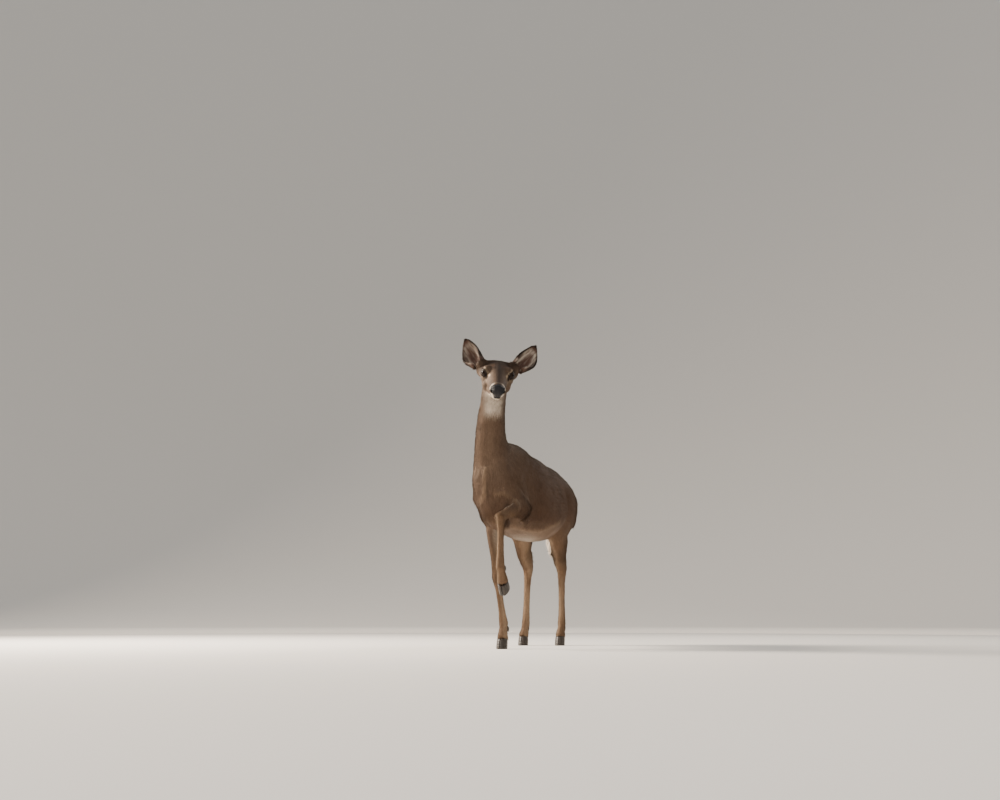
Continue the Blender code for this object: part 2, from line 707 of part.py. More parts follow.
def divide_body(body):
    """Neck, trunk, tail and legs, from the skin of the body."""
    neck = halved(body, "neck", NECK_CUT, NECK_CUT_NORMAL)
    without(neck, head_block())
    tail = ((0.44, 0.40), (0.466, 0.60), (0.45, 0.72), (0.62, 0.72), (0.62, 0.40))
    body, _ = parted(body, "tail", prism(tail, -0.05, 0.06))

    ham = ((0.05, -0.10), (0.05, 0.42), (0.105, 0.50), (0.150, 0.56), (0.52, 0.66), (0.60, 0.66),
           (0.60, -0.10))
    for side, sign in SIDES.items():
        body, limb = parted(body, f"thigh_{side}", prism(ham, sign * 0.022, sign * 0.30))
        divide_limb(limb, f"hind_{side}")

    # Round a point at the top of each foreleg.
    standing = ((-0.42, -0.65), (-0.42, 0.005), (-0.36, 0.025), (-0.18, 0.025), (-0.18, -0.65))
    lean = Matrix.Translation((-0.012, 0, 0.50)) @ Matrix.Rotation(math.radians(-7), 4, "Y")
    body, limb = parted(body, "forearm_right", prism(standing, 0, -0.20, lean))
    divide_limb(limb, "fore_right")

    raised = ((-0.30, -0.40), (-0.30, 0.040), (-0.010, 0.040), (0.012, -0.40))
    swing = Matrix.Translation((0.060, -0.375, 0.545)) @ Matrix.Rotation(math.radians(-14), 4, "Z")
    body, limb = parted(body, "forearm_left", prism(raised, 0, 0.20, swing))
    divide_limb(limb, "fore_left")


def divide_limb(limb, leg):
    """Cannon, pastern and horn of a leg."""
    joint, fetlock = (Vector(LEG_BONES[leg][k]) for k in (1, 2))
    cannon = halved(limb, f"cannon_{leg}", joint - Vector((0, 0, CANNON_CUT[leg])), (0, 0, -1))
    pastern = halved(cannon, f"pastern_{leg}", fetlock + Vector((0, 0, PASTERN_CUT)), (0, 0, -1))
    finish_foot(leg, pastern)


def finish_foot(leg, pastern):
    """Ends the pastern at the coronet and sets the horn into and under it."""
    place = foot_place(leg)
    down = place.to_3x3() @ Vector((0, 0, -1))
    sliced(pastern, place @ Vector((0, 0, CORONET_HEIGHT + CUT_GAP / 2)), down)
    for half in ("inner", "outer"):
        hoof(leg, half)
        pastern = pocketed(pastern, dewclaw(leg, half))


def finish_of(name):
    """Colour, roughness of a node."""
    if name.startswith("eye"):
        return EYE
    if name.startswith(("hoof", "dewclaw")):
        return HORN
    return COAT_PALE if name.startswith(("pastern", "tail")) else COAT


def dressed(made, home):
    """Gives a node its material and its place in the collection."""
    colour, roughness = finish_of(made.name)
    material = bpy.data.materials.new(made.name)
    material.use_nodes = True
    shader = material.node_tree.nodes["Principled BSDF"]
    shader.inputs["Base Color"].default_value = (*colour, 1)
    shader.inputs["Roughness"].default_value = roughness
    made.data.materials.clear()
    made.data.materials.append(material)
    for old in list(made.users_collection):
        old.objects.unlink(made)
    home.objects.link(made)


def centred(nodes):
    """Moves the doe so that its bounding box stands over the origin."""
    points = [vertex.co for node in nodes for vertex in node.data.vertices]
    middle = [(min(p[k] for p in points) + max(p[k] for p in points)) / 2 for k in (0, 1)]
    for node in nodes:
        node.data.transform(Matrix.Translation((-middle[0], -middle[1], 0)))
        node.data.update()


def main():
    clear_scene()
    divide_body(whole_body())
    divide_head(whole_head())
    home = bpy.data.collections.new("white_tailed_doe")
    bpy.context.scene.collection.children.link(home)
    nodes = list(bpy.context.scene.objects)
    centred(nodes)
    for node in nodes:
        dressed(node, home)


main()
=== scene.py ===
"""The looks of a life-size white-tailed doe: skin, coat, eyes, horn and a plain studio.

Metres, +Z up.  The doe faces -Y and its left side is +X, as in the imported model.
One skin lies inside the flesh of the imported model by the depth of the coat, and the
coat is made of thin closed tufts that lie along it.
"""
import math

import bmesh
import bpy
import numpy as np
from mathutils import Matrix, Vector
from mathutils.bvhtree import BVHTree


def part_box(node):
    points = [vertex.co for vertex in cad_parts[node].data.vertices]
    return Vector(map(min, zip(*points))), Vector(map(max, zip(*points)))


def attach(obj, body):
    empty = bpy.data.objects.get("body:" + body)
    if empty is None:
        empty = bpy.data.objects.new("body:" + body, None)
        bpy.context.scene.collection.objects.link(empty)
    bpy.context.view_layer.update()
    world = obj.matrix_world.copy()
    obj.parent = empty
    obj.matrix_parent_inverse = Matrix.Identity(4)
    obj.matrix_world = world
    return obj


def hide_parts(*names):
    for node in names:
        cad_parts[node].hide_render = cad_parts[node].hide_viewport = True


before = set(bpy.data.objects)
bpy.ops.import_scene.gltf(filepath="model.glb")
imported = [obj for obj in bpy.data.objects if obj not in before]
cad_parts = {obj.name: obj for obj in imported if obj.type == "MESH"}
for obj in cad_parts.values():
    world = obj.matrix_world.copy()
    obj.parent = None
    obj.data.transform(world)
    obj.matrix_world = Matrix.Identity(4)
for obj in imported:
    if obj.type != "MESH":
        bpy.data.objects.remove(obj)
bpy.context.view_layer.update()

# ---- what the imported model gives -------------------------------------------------
HARD = ("eye", "hoof", "dewclaw")
FLESH = [name for name in sorted(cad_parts) if not name.startswith(HARD)]
SIDES = {"left": 1, "right": -1}
LEGS = ("fore_left", "fore_right", "hind_left", "hind_right")

# The head's own frame, as it was built: aside to the left, back from the nose, up.
HEAD_TURN = (Matrix.Rotation(math.radians(19), 3, "Z") @ Matrix.Rotation(math.radians(29), 3, "X")
             @ Matrix.Rotation(math.radians(6), 3, "Y"))
EYE_BACK, EYE_UP = 0.166, 0.0235
EAR_ALONG = {"left": (0.46, 0.55, 0.69), "right": (-0.58, 0.21, 0.79)}
EAR_FACING = {"left": (0.45, -1.0, 0.05), "right": (-0.05, -1.0, 0.05)}
EAR_LENGTH = 0.145
RIM_ROWS = 24                  # steps along an ear at which its rims are known


def middle(name):
    low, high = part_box(name)
    return (low + high) / 2


def corners_of(name):
    """The low and high corners of a node's box, as arrays."""
    return (np.array(corner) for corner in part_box(name))


EYE_CENTRE = {side: middle(f"eye_{side}") for side in SIDES}
EYE_RADIUS = (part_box("eye_left")[1].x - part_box("eye_left")[0].x) / 2
NOSE = (EYE_CENTRE["left"] + EYE_CENTRE["right"]) / 2 - HEAD_TURN @ Vector((0, EYE_BACK, EYE_UP))
HEAD_AXES, NOSE_PLACE = np.array(HEAD_TURN), np.array(NOSE)
EYE_PLACE = {side: np.array(centre) for side, centre in EYE_CENTRE.items()}


def vertices_of(mesh):
    flat = np.empty(len(mesh.vertices) * 3, np.float32)
    mesh.vertices.foreach_get("co", flat)
    return flat.reshape(-1, 3).astype(float)


def points_of(name):
    return vertices_of(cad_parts[name].data)


def tip_of(name, way):
    """The middle of a node's end that lies furthest that way."""
    points = points_of(name)
    order = np.argsort(points @ -np.array(way, float))
    return points[order[:max(6, len(order) // 14)]].mean(0)


# ---- small helpers on arrays -------------------------------------------------------
def rise(x, low, high):
    """0 below low, 1 above high, and a smooth step between."""
    t = np.clip((x - low) / (high - low), 0, 1)
    return t * t * (3 - 2 * t)


def near(x, centre, reach):
    """1 at the centre, falling softly to 0 at about twice the reach."""
    return np.exp(-((x - centre) / reach) ** 2)


def unit(vectors):
    return vectors / np.maximum(np.linalg.norm(vectors, axis=-1, keepdims=True), 1e-9)


def tint(colours, other, amount):
    return colours + (np.array(other) - colours) * np.clip(amount, 0, 1)[:, None]


def mottle(points, size, layer):
    """Smooth random values from -1 to 1, in blotches of about that size."""
    cell = points / size + layer * 17.31
    corner0 = np.floor(cell).astype(np.int64)
    share = cell - corner0
    share = share * share * (3 - 2 * share)
    total = np.zeros(len(points))
    for step in np.ndindex(2, 2, 2):
        key = (corner0 + step) @ np.array([73856093, 19349663, 83492791])
        key = (key ^ (key >> 13)) * 1274126177 & 0x7FFFFFFF
        weight = np.prod(np.where(step, share, 1 - share), axis=1)
        total += weight * (key / 0x3FFFFFFF - 1)
    return total


def in_head(points):
    """Points in the frame of the head: aside, back from the nose, up."""
    return (points - NOSE_PLACE) @ HEAD_AXES


class EarFrame:
    """An ear's root and axes, and where its two rims lie along it."""

    def __init__(self, side):
        along, facing = Vector(EAR_ALONG[side]).normalized(), Vector(EAR_FACING[side])
        facing = (facing - along * facing.dot(along)).normalized()
        self.along, self.facing = np.array(along), np.array(facing)
        self.outward = np.array(along.cross(facing)) * SIDES[side]
        self.root = tip_of(f"ear_{side}", along) - self.along * EAR_LENGTH
        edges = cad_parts[f"ear_{side}"].data.edges
        ends = points_of(f"ear_{side}")[np.array([edge.vertices for edge in edges])]
        steps = np.linspace(0, 1, 9)[:, None, None]
        dense = (ends[:, 0] + (ends[:, 1] - ends[:, 0]) * steps).reshape(-1, 3) - self.root
        row = np.floor(dense @ self.along / EAR_LENGTH * RIM_ROWS)
        aside = dense @ self.outward
        known = [k for k in range(RIM_ROWS) if (row == k).any()]
        self.steps = (np.array(known) + 0.5) / RIM_ROWS
        self.inner = np.array([aside[row == k].min() for k in known])
        self.outer = np.array([aside[row == k].max() for k in known])

    def place(self, points):
        """Share of the ear's length, place across it, and distance in from its rim."""
        from_root = points - self.root
        share, across = from_root @ self.along / EAR_LENGTH, from_root @ self.outward
        inner = np.interp(share, self.steps, self.inner)
        outer = np.interp(share, self.steps, self.outer)
        edge = np.minimum(across - inner, outer - across)
        return share, across, np.minimum(edge, (1 - share) * EAR_LENGTH * 0.7)


EARS = {side: EarFrame(side) for side in SIDES}


class Surface:
    """A triangle mesh as arrays, with the neighbours of each vertex."""

    def __init__(self, made):
        mesh = made.data
        mesh.calc_loop_triangles()
        self.made = made
        self.points = vertices_of(mesh)
        self.triangles = np.empty(len(mesh.loop_triangles) * 3, np.int32)
        mesh.loop_triangles.foreach_get("vertices", self.triangles)
        self.triangles = self.triangles.reshape(-1, 3)
        pairs = np.empty(len(mesh.edges) * 2, np.int32)
        mesh.edges.foreach_get("vertices", pairs)
        pairs = pairs.reshape(-1, 2)
        both = np.vstack([pairs, pairs[:, ::-1]])
        both = both[np.argsort(both[:, 0], kind="stable")]
        self.next_to = both[:, 1]
        self.count = np.bincount(both[:, 0], minlength=len(self.points))
        self.first = np.concatenate([[0], np.cumsum(self.count)[:-1]])

    def normals(self):
        corner = self.points[self.triangles]
        facing = np.cross(corner[:, 1] - corner[:, 0], corner[:, 2] - corner[:, 0])
        total = np.zeros_like(self.points)
        for k in range(3):
            for axis in range(3):
                total[:, axis] += np.bincount(self.triangles[:, k], facing[:, axis], len(total))
        return unit(total)

    def spread(self, values, passes):
        """The values, each averaged with its neighbours' over and over."""
        for _ in range(passes):
            around = np.add.reduceat(values[self.next_to], self.first, axis=0)
            shape = (-1,) + (1,) * (values.ndim - 1)
            values = 0.5 * values + 0.5 * around / self.count.reshape(shape)
        return values

    def relax(self, passes, amount=1.0):
        """Smooths the points, with hardly any loss of size."""
        for step in (0.5, -0.52) * passes:
            around = np.add.reduceat(self.points[self.next_to], self.first, axis=0)
            shift = around / self.count[:, None] - self.points
            self.points = self.points + shift * step * np.reshape(amount, (-1, 1))

    def belongs_to(self, *names):
        """How much each vertex belongs to these nodes of flesh together, from 0 to 1."""
        return self.on[:, [FLESH.index(name) for name in names]].sum(axis=1)

    def store(self):
        self.made.data.vertices.foreach_set("co", self.points.astype(np.float32).ravel())
        self.made.data.update()


def placed(mesh):
    """An object for a mesh, linked into the scene under the mesh's name."""
    made = bpy.data.objects.new(mesh.name, mesh)
    bpy.context.scene.collection.objects.link(made)
    return made


def built(body, name):
    """An object from a bmesh, which is freed."""
    mesh = bpy.data.meshes.new(name)
    body.to_mesh(mesh)
    body.free()
    return placed(mesh)


def apply_modifiers(made):
    bpy.ops.object.select_all(action="DESELECT")
    bpy.context.view_layer.objects.active = made
    made.select_set(True)
    for modifier in list(made.modifiers):
        bpy.ops.object.modifier_apply(modifier=modifier.name)
    made.select_set(False)


# ---- the skin: one closed surface inside the flesh ----------------------------------
SKIN_VOXEL = 0.0020
SKIN_TRIANGLES = 166000
JOIN_OVERLAP = 0.0005          # so that nodes parted by a thin cut grow together again
FINE_FROM = 0.045              # the faces stay fine this far above the head's lowest point
SMOOTH_PASSES = 14             # of the coarse part, before its faces are thinned


def flesh_block():
    """All the flesh and the eyes in one loose mesh."""
    block = bmesh.new()
    for name in FLESH + ["eye_left", "eye_right"]:
        part = bmesh.new()
        part.from_mesh(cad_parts[name].data)
        bmesh.ops.remove_doubles(part, verts=part.verts, dist=1e-6)
        part.normal_update()
        for vertex in part.verts:
            vertex.co += vertex.normal * JOIN_OVERLAP
        mesh = bpy.data.meshes.new("part")
        part.to_mesh(mesh)
        part.free()
        block.from_mesh(mesh)
        bpy.data.meshes.remove(mesh)
    return built(block, "doe_skin")


def grown_together(made):
    """One closed skin: fine on the head and ears, and in larger faces elsewhere."""
    remesh = made.modifiers.new("Remesh", "REMESH")
    remesh.mode, remesh.voxel_size = "VOXEL", SKIN_VOXEL
    apply_modifiers(made)
    mesh = made.data
    height = vertices_of(mesh)[:, 2].astype(np.float32)
    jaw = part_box("head")[0].z + FINE_FROM
    coarse = made.vertex_groups.new(name="coarse")
    coarse.add(np.nonzero(height <= jaw)[0].tolist(), 1.0, "REPLACE")
    smooth = made.modifiers.new("Smooth", "SMOOTH")
    smooth.factor, smooth.iterations, smooth.vertex_group = 0.5, SMOOTH_PASSES, "coarse"
    thin = made.modifiers.new("Decimate", "DECIMATE")
    thin.ratio = SKIN_TRIANGLES / (2 * len(mesh.polygons))
    thin.vertex_group, thin.vertex_group_factor = "coarse", 1.0
    apply_modifiers(made)
    return made


def refined(made, places):
    """Cuts the faces near each place in four, for the fine shapes of the head."""
    body = bmesh.new()
    body.from_mesh(made.data)
    for place, reach in places:
        close = [edge for edge in body.edges
                 if all((vertex.co - place).length < reach for vertex in edge.verts)]
        bmesh.ops.subdivide_edges(body, edges=close, cuts=1, use_grid_fill=True)
    bmesh.ops.triangulate(body, faces=body.faces)
    body.to_mesh(made.data)
    body.free()
    return made


def nearest_nodes(points):
    """For each point, 1 for the node of flesh that it lies on and 0 for the others."""
    corners, faces, owner = [], [], []
    for index, name in enumerate(FLESH):
        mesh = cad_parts[name].data
        mesh.calc_loop_triangles()
        start = len(corners)
        corners += [vertex.co for vertex in mesh.vertices]
        faces += [[start + k for k in face.vertices] for face in mesh.loop_triangles]
        owner += [index] * len(mesh.loop_triangles)
    tree = BVHTree.FromPolygons(corners, faces)
    on = np.zeros((len(points), len(FLESH)))
    for row, point in enumerate(points):
        on[row, owner[tree.find_nearest(Vector(point))[2]]] = 1
    return on


# Coat of each kind of node: hair length, tuft width, lift in degrees, times that the
# tufts cover the skin, and depth of the skin under the tips.
COAT = {
    "head": (0.0095, 0.0011, 7, 2.8, 0.0018),
    "neck": (0.0240, 0.0017, 6.5, 4.2, 0.0034),
    "trunk": (0.0260, 0.0018, 6, 3.8, 0.0034),
    "tail": (0.0340, 0.0018, 4, 4.2, 0.0070),
    "ear": (0.0075, 0.0011, 8, 2.1, 0.0006),
    "forearm": (0.0150, 0.0014, 6.5, 3.0, 0.0024),
    "thigh": (0.0215, 0.0017, 6.5, 3.4, 0.0030),
    "cannon": (0.0100, 0.0012, 6, 2.8, 0.0014),
    "pastern": (0.0100, 0.0012, 8, 2.8, 0.0016),
}


def coat_of(name):
    return next(row for kind, row in COAT.items() if name.startswith(kind))


class Lie:
    """The lie of the coat: tufts follow the nearest of these lines."""

    def __init__(self):
        self.lines = []
        poll = tip_of("neck", (0, 0, 1))
        withers = tip_of("trunk", (0, -0.35, 1))
        croup = tip_of("trunk", (0, 1, 0.6))
        throat = tip_of("head", (0, 0.9, -1))
        breast = tip_of("trunk", (0, -1, 0))
        low, high = corners_of("trunk")
        self.add(poll, withers)
        self.add(throat, breast)
        self.add(withers, croup)
        self.add((0, low[1] + 0.10, low[2]), (0, high[1] - 0.25, low[2]))
        for start, end in (((0, 0.01, 0.02), (0, 0.25, 0.03)), ((0, 0.01, -0.02), (0, 0.20, -0.05))):
            self.add(NOSE_PLACE + HEAD_AXES @ start, NOSE_PLACE + HEAD_AXES @ end)
        for side, sign in SIDES.items():
            shoulder = (sign * 0.085, withers[1] + 0.02, withers[2] - 0.10)
            self.add(shoulder, (sign * 0.09, shoulder[1] + 0.07, low[2] + 0.09))
            self.add((sign * 0.14, withers[1] + 0.12, 0.64), (sign * 0.13, 0.27, 0.60))
            hock = tip_of(f"cannon_hind_{side}", (0, 0, 1))
            haunch = tip_of(f"thigh_{side}", (0, 0, 1))
            self.add(haunch, (hock[0], hock[1] - 0.08, hock[2] + 0.08))
            self.add((hock[0], hock[1] - 0.08, hock[2] + 0.08), hock)
        for leg in LEGS:
            top, bottom = tip_of(f"cannon_{leg}", (0, 0, 1)), tip_of(f"cannon_{leg}", (0, 0, -1))
            self.add(top, bottom)
            self.add(bottom, tip_of(f"pastern_{leg}", (0, -0.3, -1)))
        self.add(tip_of("forearm_right", (0, 0.2, 1)), tip_of("cannon_fore_right", (0, 0, 1)))
        self.add(tip_of("forearm_left", (0, 1, 0.1)), tip_of("cannon_fore_left", (0, 0, 1)))
        self.add(tip_of("tail", (0, -0.4, 1)), tip_of("tail", (0, 0, -1)))

    def add(self, start, end):
        self.lines.append((np.array(start, float), np.array(end, float)))

    def at(self, points):
        total = np.zeros_like(points)
        for start, end in self.lines:
            along = end - start
            share = np.clip((points - start) @ along / (along @ along), 0, 1)
            away = np.linalg.norm(points - start - share[:, None] * along, axis=1)
            total += unit(along) / (away[:, None] + 0.015) ** 4
        return unit(total)


# ---- markings, and the painted light of the folds -------------------------------------
FLANK = (0.087, 0.049, 0.030)
SADDLE = (0.062, 0.037, 0.024)
SHOULDER = (0.122, 0.079, 0.054)
NECK = (0.108, 0.070, 0.048)
PALE = (0.290, 0.200, 0.130)
WHITE = (0.640, 0.560, 0.470)
CREAM = (0.480, 0.370, 0.260)
CROWN = (0.046, 0.029, 0.020)
FACE = (0.088, 0.059, 0.042)
PALE_FACE = (0.165, 0.118, 0.086)
BRIDGE = (0.050, 0.036, 0.029)
DARK = (0.016, 0.010, 0.008)
LEG = (0.150, 0.092, 0.055)
RUST = (0.125, 0.052, 0.024)
EAR_SKIN = (0.105, 0.060, 0.046)
EAR_HAIR = (0.250, 0.205, 0.170)
# The right hollow's lower share of white is painted shade.
EAR_WHITE_AND_SHADE = {"left": 1.00, "right": 0.45}     # how much white hair each hollow shows
LEATHER = (0.015, 0.015, 0.018)

# Folds of the hide, in shares of the trunk's box: how far each stands out, its reach,
# and its painted light: above 0 a pale painted highlight on a raised edge, below 0 dark painted shade in
# a hollow or crease.
FOLDS = (
    # Over the raised leg: the edge of the upper arm, the hollow inside it, the crease behind.
    (((0.54, 0.00, 0.432), (0.61, 0.01, 0.450), (0.67, 0.02, 0.446), (0.73, 0.04, 0.405),
      (0.78, 0.05, 0.345), (0.83, 0.05, 0.280)), 0.0060, 0.0070, 0.50),
    (((0.53, 0.01, 0.375), (0.61, 0.01, 0.385), (0.70, 0.03, 0.365)), -0.0120, 0.0150, -0.60),
    (((0.55, 0.01, 0.300), (0.63, 0.02, 0.320), (0.69, 0.03, 0.300)), -0.0150, 0.0165, -0.75),
    (((0.57, 0.02, 0.220), (0.62, 0.03, 0.235)), -0.0080, 0.0130, -0.60),
    (((0.79, 0.07, 0.526), (0.84, 0.11, 0.452), (0.88, 0.13, 0.352), (0.84, 0.21, 0.268),
      (0.81, 0.23, 0.200)), -0.0060, 0.0100, -0.28),
    # Down the breast, on both sides of its groove.
    (((0.45, 0.00, 0.560), (0.46, 0.01, 0.366), (0.51, 0.02, 0.247)), -0.0030, 0.0060, -0.55),
    (((0.42, 0.01, 0.660), (0.42, 0.00, 0.540), (0.41, 0.01, 0.408), (0.34, 0.02, 0.372)),
     0.0035, 0.0080, 0.50),
)
# The same on both sides, with the same painted light: along the lower flank, the skin to the stifle,
# before the haunch.
FLANK_FOLDS = (
    (((0.62, 0.09, 0.140), (0.71, 0.20, 0.150), (0.80, 0.33, 0.165), (0.87, 0.42, 0.175)),
     -0.0030, 0.0100, -0.40),
    (((0.60, 0.20, 0.090), (0.68, 0.30, 0.080), (0.76, 0.40, 0.085), (0.88, 0.47, 0.150),
      (0.94, 0.56, 0.220)), 0.0035, 0.0110, 0.45),
    (((0.87, 0.55, 0.690), (0.91, 0.59, 0.620), (0.945, 0.58, 0.506), (0.96, 0.54, 0.353)),
     -0.0035, 0.0120, -0.30),
)


def to_line(points, line):
    """The distance of each point from a bent line."""
    nearest = np.full(len(points), 9.0)
    for start, end in zip(line, line[1:]):
        along = end - start
        share = np.clip((points - start) @ along / (along @ along), 0, 1)
        away = np.linalg.norm(points - start - share[:, None] * along, axis=1)
        nearest = np.minimum(nearest, away)
    return nearest


def folds_at(points):
    """For each fold, how near each point is to it (1 on it), its height and its painted light."""
    low, high = corners_of("trunk")
    folds = [(np.array(shares), *rest) for shares, *rest in FOLDS]
    for shares, *rest in FLANK_FOLDS:
        folds.append((np.array(shares), *rest))
        folds.append((np.array((1, 0, 0)) + np.array(shares) * (-1, 1, 1), *rest))
    for shares, height, reach, pale in folds:
        yield near(to_line(points, low + shares * (high - low)), 0, reach), height, pale


def layered(colours, *layers):
    """Each layer's tone laid over the colours, by its amount at each point."""
    for tone, amount in layers:
        colours = tint(colours, tone, amount)
    return colours


def evenly(tone, points):
    return np.tile(tone, (len(points), 1))


def body_colours(points, normals):
    """Trunk: a darker saddle, paler shoulders, brown flanks, and a pale belly and groin."""
    low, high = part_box("trunk")
    height = (points[:, 2] - low.z) / (high.z - low.z)
    down = -normals[:, 2]
    low_side = rise(down, 0.25, 0.75) * rise(-height, -0.28, -0.05)
    fore = rise(-points[:, 1], 0.06, 0.26) * rise(height, 0.15, 0.40)
    between = near(points[:, 0], 0, 0.045) * rise(down, 0.6, 0.95)
    groin = rise(points[:, 1], high.y - 0.42, high.y - 0.30) * rise(-height, -0.35, -0.10)
    return layered(
        evenly(FLANK, points),
        (SADDLE, rise(normals[:, 2], 0.35, 0.95) * 0.8),
        (PALE, low_side * 0.28),
        (SHOULDER, fore * 0.85),
        (WHITE, between * rise(points[:, 1], -0.12, 0.14) * 0.45),
        (RUST, groin * 0.35 * rise(down, 0.0, 0.5)),
        (WHITE, groin * rise(down, 0.4, 0.8) * 0.6),
    )


def neck_colours(points, normals):
    """Neck: grey-brown, darker along the crest, a little paler in front."""
    return layered(
        evenly(NECK, points),
        (SADDLE, rise(normals[:, 1], -0.1, 0.8) * 0.85),
        (PALE, rise(-normals[:, 1], 0.35, 0.95) * 0.12),
        *throat_patch(points),
    )


def throat_patch(points):
    """The layers of the white patch under the jaw, which runs on to the top of the neck."""
    aside, back, up = in_head(points).T
    inward = -np.abs(aside)
    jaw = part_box("head")[0].z
    speckled = (0.7 + 0.3 * mottle(points, 0.009, 5)) * rise(points[:, 2], jaw - 0.035, jaw + 0.012)
    patch = near(back, 0.150, 0.055) * rise(-up, 0.040, 0.062) * rise(inward, -0.050, -0.022)
    lower = near(back, 0.135, 0.050) * rise(-up, 0.075, 0.10) * rise(inward, -0.040, -0.010)
    return (WHITE, patch * speckled * 0.95), (WHITE, lower * speckled * 0.8)


def mouth_line(back):
    return -0.0235 - 0.03 * back + 0.5 * np.clip(back - 0.05, 0, 1)


def head_colours(points, normals):
    """Head: dark crown and bridge, pale by the eyes, white chin, throat and muzzle ring."""
    aside, back, up = in_head(points).T
    across = np.abs(aside)
    facing = normals @ HEAD_AXES
    top = rise(facing[:, 2], 0.10, 0.70)
    beside = near(across, 0.032, 0.012) * near(back, 0.115, 0.030) * rise(facing[:, 2], -0.35, 0.15)
    before_eye = near(back, 0.150, 0.022) * near(up, -0.014, 0.016) * rise(across, 0.028, 0.040)
    behind_ring = near(back, 0.060, 0.022) * rise(across, 0.016, 0.03)
    bridge = near(across, 0, 0.008 + 0.07 * np.clip(back - 0.05, 0, 0.12))
    brow = near(across, 0.024, 0.010) * near(back, 0.180, 0.016) * top
    ear_base = rise(back, 0.215, 0.240) * rise(across, 0.02, 0.045)
    behind_jaw = near(back, 0.200, 0.020) * near(up, -0.012, 0.014) * rise(across, 0.035, 0.05)
    colours = layered(
        evenly(FACE, points),
        (PALE_FACE, beside * 0.50),
        (PALE_FACE, before_eye * 0.40),
        (BRIDGE, behind_ring * 0.6),
        (BRIDGE, top * bridge * 0.95),
        (RUST, brow * 0.30),
        (CROWN, rise(back, 0.165, 0.215) * rise(facing[:, 2], 0.05, 0.65)),
        (CROWN, ear_base * 0.35),
        (CREAM, behind_jaw * 0.25),
    )
    for side, sign in SIDES.items():
        beyond, turn, away = beyond_lids(points, side)
        local = (points - EYE_PLACE[side]) @ HEAD_AXES
        above = 0.25 + 0.75 * rise(np.sin(turn) + 0.35 * np.cos(turn), 0.0, 0.8)
        ring = near(beyond, 0.0082, 0.0044) * above * (away < 3 * EYE_RADIUS)
        rim = rise(-beyond, -0.0052, -0.0026) * (away < 2 * EYE_RADIUS)
        gland = near(local[:, 1], -0.030, 0.011) * near(local[:, 2], -0.010, 0.0045)
        colours = layered(
            colours,
            (CREAM, ring * 0.90),
            (DARK, rim * 0.95),
            (DARK, gland * (aside * sign > 0.02) * 0.5),
        )
    narrow = rise(0.030 + 0.10 * np.clip(0.05 - back, 0, 1) - across, 0, 0.012)
    under = rise(-facing[:, 2], 0.35, 0.80) * rise(-up, 0.005, 0.03) * narrow
    ring = near(back - 0.06 * np.clip(up, -1, 0), 0.0248, 0.0042) * rise(up, -0.020, -0.010)
    spot = near(back, 0.044, 0.010) * near(up, -0.026, 0.007) * rise(across, 0.012, 0.022)
    lower = rise(-up, 0.006, 0.012) * rise(-back, -0.038, -0.024) * rise(across, 0.010, 0.015)
    chin = rise(-up, 0.026, 0.034) * rise(-back, -0.055, -0.03)
    lips = near(up, mouth_line(back), 0.0036) * rise(-back, -0.080, -0.055)
    return layered(
        colours,
        (WHITE, under * 0.92),
        *throat_patch(points),
        (WHITE, ring * (0.12 + 0.80 * rise(across, 0.010, 0.020))),
        (DARK, spot * 0.15),
        (WHITE, lower * 0.95),
        (WHITE, chin * 0.92),
        (DARK, lips * rise(back, 0.012, 0.020) * 0.85),
        (LEATHER, nose_leather(points)),
    )


def nose_leather(points):
    """1 on the bare nose pad and the lips below its middle."""
    aside, back, up = in_head(points).T
    across = np.abs(aside)
    edge = 0.0150 + 0.0050 * rise(across, 0.012, 0.022)
    bottom = -0.0165 + 0.0130 * (across / 0.028) ** 2
    pad = rise(edge - back, -0.0012, 0.0012) * rise(up - bottom, -0.0012, 0.0012)
    lip = rise(0.014 - back, -0.001, 0.002) * rise(0.0165 + 0.25 * (up + 0.016) - across, 0, 0.003)
    return np.maximum(pad, lip * rise(up, -0.0310, -0.0285))


def ear_colours(points, normals, side):
    """Ear: brown back, dark rim and tip, and a hollow with white hair round a pinkish middle."""
    ear = EARS[side]
    share, across, edge = ear.place(points)
    hollow = rise(normals @ ear.facing, -0.05, 0.35)
    streak = mottle(np.stack([across * 6, share * 0.10, edge], axis=1), 0.022, 6)
    hair = hollow * near(edge, 0.0140, 0.0075) * rise(share, 0.02, 0.15) * rise(-share, -0.92, -0.75)
    middle_hair = hollow * 0.45 * rise(streak, 0.0, 0.7) * rise(edge, 0.012, 0.020)
    rim = rise(-edge, -0.0085 + 0.0035 * (1 - hollow), -0.0045) * rise(share, 0.03, 0.16)
    return layered(
        evenly(NECK, points) * 0.85,
        (CROWN, rise(-share, -0.30, -0.05) * 0.8),
        (EAR_SKIN, hollow),
        (EAR_HAIR, hair * (0.55 + 0.45 * streak)),
        # Less white on the right hollow is painted shade.
        (WHITE, hair * EAR_WHITE_AND_SHADE[side] * rise(streak, -0.75, 0.25)),
        (EAR_HAIR, middle_hair),
        (DARK, rim * 0.95),
    )


